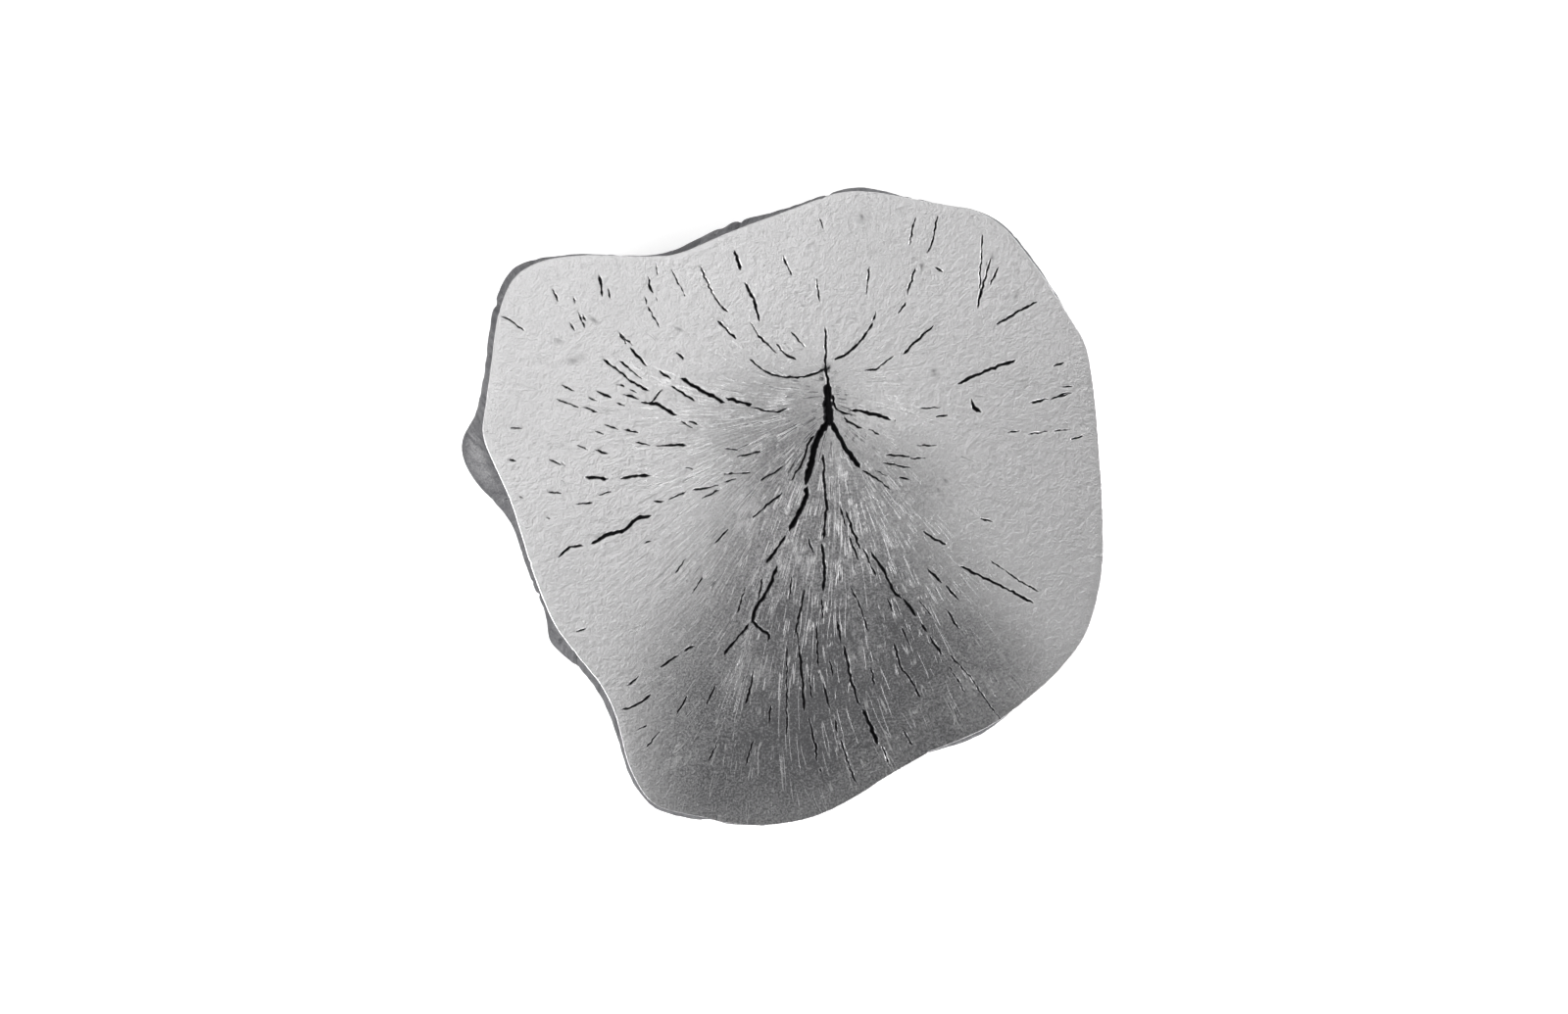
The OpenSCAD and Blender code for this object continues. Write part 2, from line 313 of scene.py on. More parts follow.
@dataclass(frozen=True)
class SilverLeaf:
    """Satin silver leaf over sealed resin, with the grain of the wood it copies."""

    name: str = "silver_leaf"
    bright: tuple[float, float, float] = (0.78, 0.775, 0.78)
    # shaded_tone is the leaf under full painted shade: the painted shade on the top and on the
    # wall darkens the leaf towards it
    shaded_tone: tuple[float, float, float] = (0.15, 0.15, 0.155)
    # deep is the colour in the checks, the deepest grooves and the pith floor: mostly painted
    # shadow, with some real dark patina; the dark scuffs take it too
    deep: tuple[float, float, float] = (0.025, 0.025, 0.027)
    edge: tuple[float, float, float] = (0.20, 0.20, 0.21)
    streaks_round: float = 80.0    # grain cells in one radian of the turn
    streaks_long: float = 9.0      # grain cells along the grain
    splits_near: int = 100         # rows of splits round the pith
    splits_far: int = 170          # rows of splits round the rim
    split_runs: float = 10.0       # how often a split breaks off
    split_half: float = 0.00021    # half of a split's width over the way round the rim
    grain_depth: float = 0.0007
    stipple_depth: float = 0.0004
    gloss: float = 0.33

    def make(self) -> bpy.types.Material:
        """Builds the material.

        Returns:
            The material, which reads the grain UV map and the grain_and_shade attribute, which
            holds painted shadow and painted shade.
        """
        g = Graph(self.name)
        place = g.position()
        u, v, _ = g.split(g.add("ShaderNodeUVMap", {"uv_map": "grain"}))
        grain_and_shade = g.split(g.add("ShaderNodeAttribute", {"attribute_name": "grain_and_shade"}, out="Vector"))
        # check is painted shadow in the checks and grooves, with the dark scuffs; fibre is the
        # grain; shade is painted shade
        check, fibre, shade = grain_and_shade
        turn = u * (2 * math.pi)
        ring_x, ring_y = turn.cos(), turn.sin()

        def grain(round_cells: float, long_cells: float, detail: float) -> Sock:
            """Noise drawn out along the grain."""
            where = g.join(ring_x * round_cells, ring_y * round_cells, v * long_cells)
            return g.noise(where, 1.0, detail, 0.55)

        far = v.step(0.25, 0.6)
        wide, slim = self.streaks_round * 0.4, self.streaks_round
        along = self.streaks_long
        fine = g.lerp(far, grain(wide, along, 3.0), grain(slim, along, 3.0))
        coarse = g.lerp(far, grain(wide * 0.5, 5.0, 2.0), grain(slim * 0.45, 5.0, 2.0))
        drift = (grain(self.streaks_round * 0.25, 3.0, 2.0) - 0.5) * 6.0

        def splits(count: int) -> tuple[Sock, Sock]:
            """Fine broken splits along the grain: the dark cuts, and the pale lips, which are
            painted highlights.
            """
            across = u * count + drift
            row = across.floor()
            side = across - row - 0.5
            bearing = row * (math.tau / count)
            where = g.join(bearing.cos() * count, bearing.sin() * count, v * self.split_runs)
            chance = g.noise(where, 1.0, 3.0, 0.65)
            half = (v.most(0.06) ** -1.0) * (self.split_half * count)
            cut = abs(side).step(half, half * 1.7, 1.0, 0.0)
            lip = abs(side - half * 2.0).step(half, half * 1.7, 1.0, 0.0)
            dark = cut * chance.step(0.55, 0.60)
            pale = (cut * chance.step(0.38, 0.44, 1.0, 0.0)).most(lip * chance.step(0.50, 0.56))
            return dark, pale

        near_dark, near_pale = splits(self.splits_near)
        far_dark, far_pale = splits(self.splits_far)
        line = g.lerp(far, near_dark, far_dark)
        # thread holds the pale lips: raised fibre in the relief, and painted highlights in the
        # colour
        thread = g.lerp(far, near_pale * v.step(0.05, 0.18), far_pale)
        thread = thread * v.step(1.0, 1.15, 1.0, 0.5)
        stipple = g.noise(place, 780.0, 4.0, 0.62)
        hammer = g.noise(place, 210.0, 2.0)
        cloud = g.noise(place, 17.0, 4.0, 0.6)

        spread = v.step(0.0, 0.45, 0.25, 1.0)
        relief = (
            (fine - 0.5) * (0.08 + fibre * 0.9) * v.step(1.0, 1.15, 1.0, 1.6)
            + (coarse - 0.5) * (0.08 + fibre * 0.5)
            + (thread * 0.5 - line) * (0.03 + fibre * 0.7)
        ) * spread
        normal = g.bump(relief, self.grain_depth)
        skin = stipple * 0.7 + hammer * 0.8
        normal = g.add(
            "ShaderNodeBump",
            inputs={"Distance": self.stipple_depth, "Height": skin, "Normal": normal},
        )
        mottle = (
            (cloud - 0.5) * (0.2 + shade * 0.45)
            + (fine - 0.5) * (fibre + 0.05) * v.step(1.0, 1.15, 0.5, 1.6)
            + (stipple - 0.5) * (0.5 + shade * 0.9)
        )
        # painted_shade_mottle is the painted shade plus random mottle in the leaf's tone
        painted_shade_mottle = (shade + mottle).most(0.0).least(1.0)
        colour = g.blend(painted_shade_mottle, self.bright, self.shaded_tone)
        # painted highlight: the pale threads lift the colour back to bright leaf, most under the
        # painted shade
        colour = g.blend(thread * (fibre * 0.55 + shade * 0.35 + 0.04), colour, self.bright)
        # the checks take painted shadow, and the fine splits a dark line that grows a little
        # under the painted shade
        dark = (check + line * (fibre * 0.6 + shade * 0.2 + 0.12)).least(1.0)
        colour = g.blend(dark, colour, self.deep)
        rough = self.gloss + (cloud - 0.5) * 0.16 + shade * 0.06 + check * 0.4 + fibre * 0.05
        return g.surface(
            Base_Color=colour,
            Metallic=1.0 - check * 0.8,
            Roughness=rough,
            Normal=normal,
            Specular_Tint=(*self.edge, 1.0),
        )


@dataclass(frozen=True)
class Timber:
    """Wood with growth lines, and with veneers on the edges if it is plywood."""

    name: str
    light: tuple[float, float, float]
    dark: tuple[float, float, float]
    veneer: float = 0.0    # thickness of one veneer in metres, or 0 for solid wood

    def make(self) -> bpy.types.Material:
        """Builds the material."""
        g = Graph(self.name)
        place = g.position()
        drift = g.noise(g.stretch(place, (3.0, 22.0, 9.0)), 1.0, 3.0)
        fibre = g.noise(g.stretch(place, (22.0, 900.0, 500.0)), 1.0, 3.0, 0.6)
        _, y, z = g.split(place)
        rings = ((y * 330.0 + drift * 22.0).sin() * 0.5 + 0.5) ** 2.0
        tone = rings * 0.45 + fibre * 0.5
        if self.veneer:
            layer = (z * (math.pi / self.veneer)).sin().step(-0.15, 0.15)
            tone = tone * 0.6 + layer * 0.35
        colour = g.blend(tone.least(1.0), self.light, self.dark)
        normal = g.bump(fibre * 0.6 + rings * 0.2, 0.0003)
        return g.surface(Base_Color=colour, Roughness=0.62 + fibre * 0.16, Normal=normal)


@dataclass(frozen=True)
class ZincSteel:
    """Bright zinc plating on turned steel."""

    name: str = "zinc_steel"

    def make(self) -> bpy.types.Material:
        """Builds the material."""
        g = Graph(self.name)
        place = g.position()
        mottle = g.noise(place, 260.0, 4.0, 0.6)
        turned = g.noise(g.stretch(place, (90.0, 90.0, 5200.0)), 1.0, 2.0)
        colour = g.blend(mottle, (0.60, 0.60, 0.57), (0.42, 0.43, 0.43))
        return g.surface(
            Base_Color=colour,
            Metallic=1.0,
            Roughness=0.3 + mottle * 0.18,
            Normal=g.bump(turned, 0.00006),
        )


@dataclass(frozen=True)
class Nylon:
    """Black moulded nylon with a fine spark finish."""

    name: str = "nylon"

    def make(self) -> bpy.types.Material:
        """Builds the material."""
        g = Graph(self.name)
        place = g.position()
        spark = g.noise(place, 2400.0, 2.0)
        scuff = g.noise(place, 130.0, 4.0, 0.65)
        colour = g.blend(scuff, (0.018, 0.018, 0.02), (0.045, 0.045, 0.047))
        return g.surface(
            Base_Color=colour, Roughness=0.42 + scuff * 0.2, Normal=g.bump(spark, 0.00008)
        )


@dataclass(frozen=True)
class Felt:
    """Pressed grey felt."""

    name: str = "felt"

    def make(self) -> bpy.types.Material:
        """Builds the material."""
        g = Graph(self.name)
        place = g.position()
        clump = g.noise(place, 700.0, 4.0, 0.7)
        strand = g.noise(g.stretch(place, (900.0, 2600.0, 900.0)), 1.0, 3.0)
        colour = g.blend(clump * 0.6 + strand * 0.4, (0.05, 0.048, 0.046), (0.20, 0.19, 0.18))
        return g.surface(
            Base_Color=colour,
            Roughness=0.95,
            Normal=g.bump(clump * 0.6 + strand * 0.6, 0.0005),
            Sheen_Weight=0.35,
        )


# -------------------------------------------------------------- shape helpers


class Grain:
    """Seeded smooth noise from -1 to 1 that repeats in its first direction."""

    def __init__(self, seed: int, round_cells: int, long_cells: int) -> None:
        """Fills the table.

        Args:
            seed: what makes this noise its own.
            round_cells: lumps in one turn.
            long_cells: lumps along the grain.
        """
        self.table = np.random.default_rng(seed).uniform(-1, 1, (long_cells + 2, round_cells))
        self.cells = (round_cells, long_cells)

    def __call__(self, turn: Array, along: Array) -> Array:
        """The noise at places.

        Args:
            turn: share of a turn.
            along: share of the length, from 0 to 1.

        Returns:
            The noise, as an array of the same shape.
        """
        x = (turn % 1.0) * self.cells[0]
        y = np.clip(along, 0, 1) * self.cells[1]
        i, j = np.floor(x).astype(int), np.floor(y).astype(int)
        fx, fy = smooth(x - i), smooth(y - j)
        a, b = i % self.cells[0], (i + 1) % self.cells[0]
        near = self.table[j, a] * (1 - fx) + self.table[j, b] * fx
        far = self.table[j + 1, a] * (1 - fx) + self.table[j + 1, b] * fx
        return near * (1 - fy) + far * fy


def smooth(t: Array) -> Array:
    """A smooth step of values from 0 to 1."""
    t = np.clip(t, 0, 1)
    return t * t * (3 - 2 * t)


def soften(rows: Array, reach: float, axis: int, wrap: bool) -> Array:
    """Blurs an array along one axis.

    Args:
        rows: the array.
        reach: the blur's width in cells.
        axis: the axis to blur along.
        wrap: whether the axis runs round and meets itself.

    Returns:
        The blurred array.
    """
    half = max(1, int(3 * reach))
    weights = np.exp(-0.5 * (np.arange(-half, half + 1) / reach) ** 2)
    weights /= weights.sum()
    pad = [(0, 0)] * rows.ndim
    pad[axis] = (half, half)
    padded = np.pad(rows, pad, mode="wrap" if wrap else "edge")
    return np.apply_along_axis(lambda line: np.convolve(line, weights, "valid"), axis, padded)


class Probe:
    """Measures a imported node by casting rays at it."""

    def __init__(self, node: str) -> None:
        """Reads the node's mesh.

        Args:
            node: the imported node's name.
        """
        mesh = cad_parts[node].data
        points = [v.co.copy() for v in mesh.vertices]
        self.tree = BVHTree.FromPolygons(points, [tuple(p.vertices) for p in mesh.polygons])

    def radii(self, heights: Sequence[float], turns: Array, inside: bool = False) -> Array:
        """Distances from the upright axis to the node's skin.

        Args:
            heights: heights in metres, one for each row.
            turns: bearings as shares of a turn, one for each column.
            inside: whether to look outwards from the axis for the inner skin.

        Returns:
            Radii in metres, rows by columns.
        """
        found = np.zeros((len(heights), len(turns)))
        for row, z in enumerate(heights):
            for column, turn in enumerate(turns):
                way = Vector((math.cos(turn * math.tau), math.sin(turn * math.tau), 0.0))
                if inside:
                    hit = self.tree.ray_cast(Vector((0, 0, z)), way)
                else:
                    hit = self.tree.ray_cast(way * 0.6 + Vector((0, 0, z)), -way)
                found[row, column] = hit[0].xy.length
        return found


def sheet_mesh(name: str, columns: int, rows: int) -> bmesh.types.BMesh:
    """A grid with a UV map called grain, to be bent into a tube.

    Args:
        name: what it is for, for the log.
        columns: cells round.
        rows: cells along.

    Returns:
        The grid, with its points in order of rows.
    """
    bm = bmesh.new()
    bm.loops.layers.uv.new("grain")
    bmesh.ops.create_grid(bm, x_segments=columns, y_segments=rows, size=0.5, calc_uvs=True)
    LOG.info("%s: sheet of %d by %d", name, columns, rows)
    return bm


def finish_piece(
    name: str,
    bm: bmesh.types.BMesh,
    material: bpy.types.Material,
    nodes: Sequence[str],
    body: str = Body.STOOL.value,
) -> bpy.types.Object:
    """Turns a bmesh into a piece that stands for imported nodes.

    Args:
        name: the piece's name.
        bm: its mesh, freed here.
        material: its finish.
        nodes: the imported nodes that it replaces.
        body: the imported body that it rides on.

    Returns:
        The piece.
    """
    mesh = bpy.data.meshes.new(name)
    bm.to_mesh(mesh)
    bm.free()
    mesh.shade_smooth()
    mesh.materials.append(material)
    piece = bpy.data.objects.new(name, mesh)
    bpy.context.scene.collection.objects.link(piece)
    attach(piece, body)
    if nodes:
        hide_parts(*nodes)
    LOG.info("%s: %d faces", name, len(mesh.polygons))
    return piece


# ----------------------------------------------------------------- trunk wall


@dataclass
class LongGrain:
    """The trunk's relief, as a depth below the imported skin."""

    swell: float = 0.8
    ridge: float = 0.7
    groove: float = 1.9
    thin: float = 0.9
    fibre: float = 0.5
    side_shade: float = 0.84        # share of painted shade on the wall and the cap's side, darker than the top's leaf
    woolly: float = 0.3
    knots: tuple[tuple[float, float, float], ...] = (
        (0.4795, 0.338, 0.030),
        (0.5870, 0.338, 0.018),
        (0.905, 0.245, 0.020),
        (0.130, 0.150, 0.017),
        (0.300, 0.300, 0.013),
        (0.735, 0.120, 0.015),
    )                            # turn, height and radius in metres; the first two stand out
    girth: float = 1.28          # metres round the trunk
    parting: float = 0.45        # how far the grain parts round a knot
    deepest: float = 3.6
    top: float = 0.436           # height where the trunk meets the cap, in metres
    _noises: dict[str, Grain] = field(default_factory=dict)

    def __post_init__(self) -> None:
        """Seeds the noises."""
        self._noises = {
            "sway": Grain(11, 12, 3),
            "swell": Grain(12, 34, 2),
            "ridge": Grain(13, 90, 3),
            "groove": Grain(14, 46, 1),
            "gate": Grain(15, 60, 7),
            "thin": Grain(16, 150, 2),
            "gate_thin": Grain(17, 90, 14),
            "fibre": Grain(18, 260, 9),
        }

    def flow(self, turn: Array, z: Array) -> Array:
        """The turn that the grain on a spot comes from, as it sways and parts round knots.

        Args:
            turn: shares of a turn.
            z: heights in metres.

        Returns:
            The grain's own turns.
        """
        high = z / STOOL_HIGH
        flowed = turn + 0.006 * self._noises["sway"](turn, high)
        for knot_turn, knot_z, radius in self.knots:
            aside = ((turn - knot_turn + 0.5) % 1.0 - 0.5) * self.girth
            rise = (z - knot_z) * 0.6
            near = radius**2 / (aside**2 + rise**2 + (0.5 * radius) ** 2)
            fade = np.exp(-((rise / radius / 3) ** 2))
            flowed = flowed - aside / self.girth * self.parting * near * fade
        return flowed

    def depth(self, turn: Array, z: Array) -> Array:
        """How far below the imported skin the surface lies, in metres."""
        n, high, t = self._noises, z / STOOL_HIGH, self.flow(turn, z)
        swell = 0.5 - 0.5 * n["swell"](t, high)
        ridge = 0.5 - 0.5 * n["ridge"](t, high)
        groove = np.exp(-((n["groove"](t, high) / 0.10) ** 2))
        groove = groove * smooth((n["gate"](t, high) + 0.35) * 1.6)
        thin = np.exp(-((n["thin"](t, high) / 0.14) ** 2))
        thin = thin * smooth((n["gate_thin"](t, high) + 0.1) * 2.0)
        fibre = 0.5 - 0.5 * n["fibre"](t, high)
        deep = self.swell * swell + self.ridge * ridge + self.groove * groove
        deep = deep + self.thin * thin + self.fibre * fibre
        calm = np.ones_like(deep)
        for knot_turn, knot_z, radius in self.knots:
            aside = ((turn - knot_turn + 0.5) % 1.0 - 0.5) * self.girth
            off = np.hypot(aside, (z - knot_z) * 0.75) / radius
            calm = calm * (1 - 0.85 * np.exp(-(off**4)))
        for knot_turn, knot_z, radius in self.knots[2:]:
            aside = ((turn - knot_turn + 0.5) % 1.0 - 0.5) * self.girth
            off = np.hypot(aside, (z - knot_z) * 0.75) / radius
            collar, heart = np.exp(-(((off - 0.75) / 0.16) ** 2)), np.exp(-(off**2) * 6)
            deep = deep + 1.6 * collar - 0.4 * heart
        fade = 0.3 + 0.7 * smooth((self.top - z) / 0.05)
        return np.clip(deep * calm * fade, 0.0, self.deepest) * MM


@dataclass
class TrunkWall:
    """The moulded trunk: its outer skin in long grain, and its plain inside."""

    columns: int = 820
    rows: int = 100
    inner_rows: int = 4
    samples: tuple[int, int] = (410, 54)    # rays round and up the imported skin
    edge: float = 1.0              # how far the foot's edge is drawn in
    edge_rise: float = 2.2         # and over what height
    grain: LongGrain = field(default_factory=LongGrain)

    def build(self, material: bpy.types.Material) -> bpy.types.Object:
        """Builds the wall.

        Args:
            material: the silver leaf.

        Returns:
            The piece that stands for trunk_wall.
        """
        low, high = (corner.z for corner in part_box("trunk_wall"))
        probe = Probe("trunk_wall")
        round_samples, high_samples = self.samples
        coarse_turns = np.arange(round_samples) / round_samples
        levels = np.linspace(low + 0.0005, high - 0.0005, high_samples)
        skin = probe.radii(levels, coarse_turns)
        skin = soften(soften(skin, 1.6, 1, True), 1.2, 0, False)
        inner_levels = [high - 0.001, high - 0.05, (low + high) / 2, low + 0.07, low + 0.001]
        lining = probe.radii(inner_levels, coarse_turns, inside=True)

        turns = np.arange(self.columns + 1) / self.columns
        heights = low + (high - low) * np.arange(self.rows + 1) / self.rows
        outer = resample(skin, levels, heights, turns)
        inner = np.stack([resample_row(row, turns) for row in lining])

        grid_turn, grid_z = np.meshgrid(turns, heights)
        outer = outer - self.grain.depth(grid_turn, grid_z)
        rim = np.exp(-((heights - low) / (self.edge_rise * MM)) ** 2)[:, None] * self.edge * MM
        outer = outer - rim
        radius = np.concatenate([outer, inner, outer[:1]])
        inner_z = np.repeat(np.array(inner_levels)[:, None], turns.size, 1)
        z = np.concatenate([grid_z, inner_z, grid_z[:1]])
        z[self.rows + 1] = high
        z[self.rows + self.inner_rows + 1] = low

        bm = sheet_mesh("trunk", self.columns, self.rows + self.inner_rows + 2)
        place_tube(bm, radius, z, turns)
        flow = self.grain.flow(grid_turn, grid_z)
        flow = np.concatenate([flow, flow[-1:].repeat(self.inner_rows + 2, 0)])
        set_grain_map(bm, flow, 2.0 - z / STOOL_HIGH)
        grain_and_shade = self._grain_and_shade(grid_turn, grid_z, z.shape)
        set_grain_and_shade(bm, grain_and_shade)
        weld(bm)
        return finish_piece("trunk_wall_leafed", bm, material, ["trunk_wall"])

    def _grain_and_shade(self, turn: Array, z: Array, shape: tuple[int, int]) -> Array:
        """The grain_and_shade attribute for each point: painted shadow in the deepest grooves,
        fibre, and painted shade.
        """
        deep = self.grain.depth(turn, z) / MM
        grain_and_shade = np.zeros((*shape, 3))
        rows = turn.shape[0]
        # painted shadow in the deepest grooves
        grain_and_shade[:rows, :, 0] = np.clip((deep - 2.0) / 2.4, 0, 0.6)
        grain_and_shade[:rows, :, 1] = self.grain.woolly
        # painted shade over the whole wall, deeper in the grooves
        grain_and_shade[:rows, :, 2] = self.grain.side_shade + np.clip((deep - 1.2) / 5.0, 0, 0.35)
        # the inside of the trunk takes almost full painted shade
        grain_and_shade[rows:, :, 1] = 0.2
        grain_and_shade[rows:, :, 2] = 0.95
        return grain_and_shade


def resample_row(row: Array, turns: Array) -> Array:
    """Reads a closed row of samples at other turns."""
    size = row.size
    return np.interp((turns % 1.0) * size, np.arange(size + 1), np.append(row, row[0]))


def resample(rows: Array, levels: Array, heights: Array, turns: Array) -> Array:
    """Reads a table of rows at other heights and turns.

    Args:
        rows: values, rows by columns, with closed rows.
        levels: the rows' heights.
        heights: the heights wanted.
        turns: the turns wanted.

    Returns:
        The values, heights by turns.
    """
    wide = np.stack([resample_row(row, turns) for row in rows])
    return np.stack([np.interp(heights, levels, wide[:, c]) for c in range(turns.size)], axis=1)


def place_tube(bm: bmesh.types.BMesh, radius: Array, z: Array, turns: Array) -> None:
    """Bends a sheet into a tube.

    Args:
        bm: the sheet, rows by columns.
        radius: each point's radius in metres.
        z: each point's height in metres.
        turns: each column's bearing as a share of a turn.
    """
    x = radius * np.cos(turns * math.tau)
    y = radius * np.sin(turns * math.tau)
    set_points(bm, np.stack([x, y, z], axis=-1))


def set_points(bm: bmesh.types.BMesh, points: Array) -> None:
    """Moves a sheet's points to a grid of places."""
    flat = points.reshape(-1, 3).tolist()
    for vert, place in zip(bm.verts, flat):
        vert.co = place


def set_grain_map(bm: bmesh.types.BMesh, turn: Array, along: Array) -> None:
    """Writes the grain UV map from each point's place in the grain."""
    layer = bm.loops.layers.uv["grain"]
    pairs = np.stack([turn.ravel(), along.ravel()], axis=-1).tolist()
    for face in bm.faces:
        for loop in face.loops:
            loop[layer].uv = pairs[loop.vert.index]


def set_grain_and_shade(bm: bmesh.types.BMesh, grain_and_shade: Array) -> None:
    """Writes the grain_and_shade attribute, with its painted shadow and painted shade, from a
    grid of three numbers a point.
    """
    layer = bm.verts.layers.float_vector.new("grain_and_shade")
    for vert, value in zip(bm.verts, grain_and_shade.reshape(-1, 3).tolist()):
        vert[layer] = value


def weld(bm: bmesh.types.BMesh) -> None:
    """Closes a tube's seams and turns its faces outwards."""
    bmesh.ops.remove_doubles(bm, verts=bm.verts, dist=1e-6)
    bmesh.ops.recalc_face_normals(bm, faces=bm.faces)


# ------------------------------------------------------------------------ cap

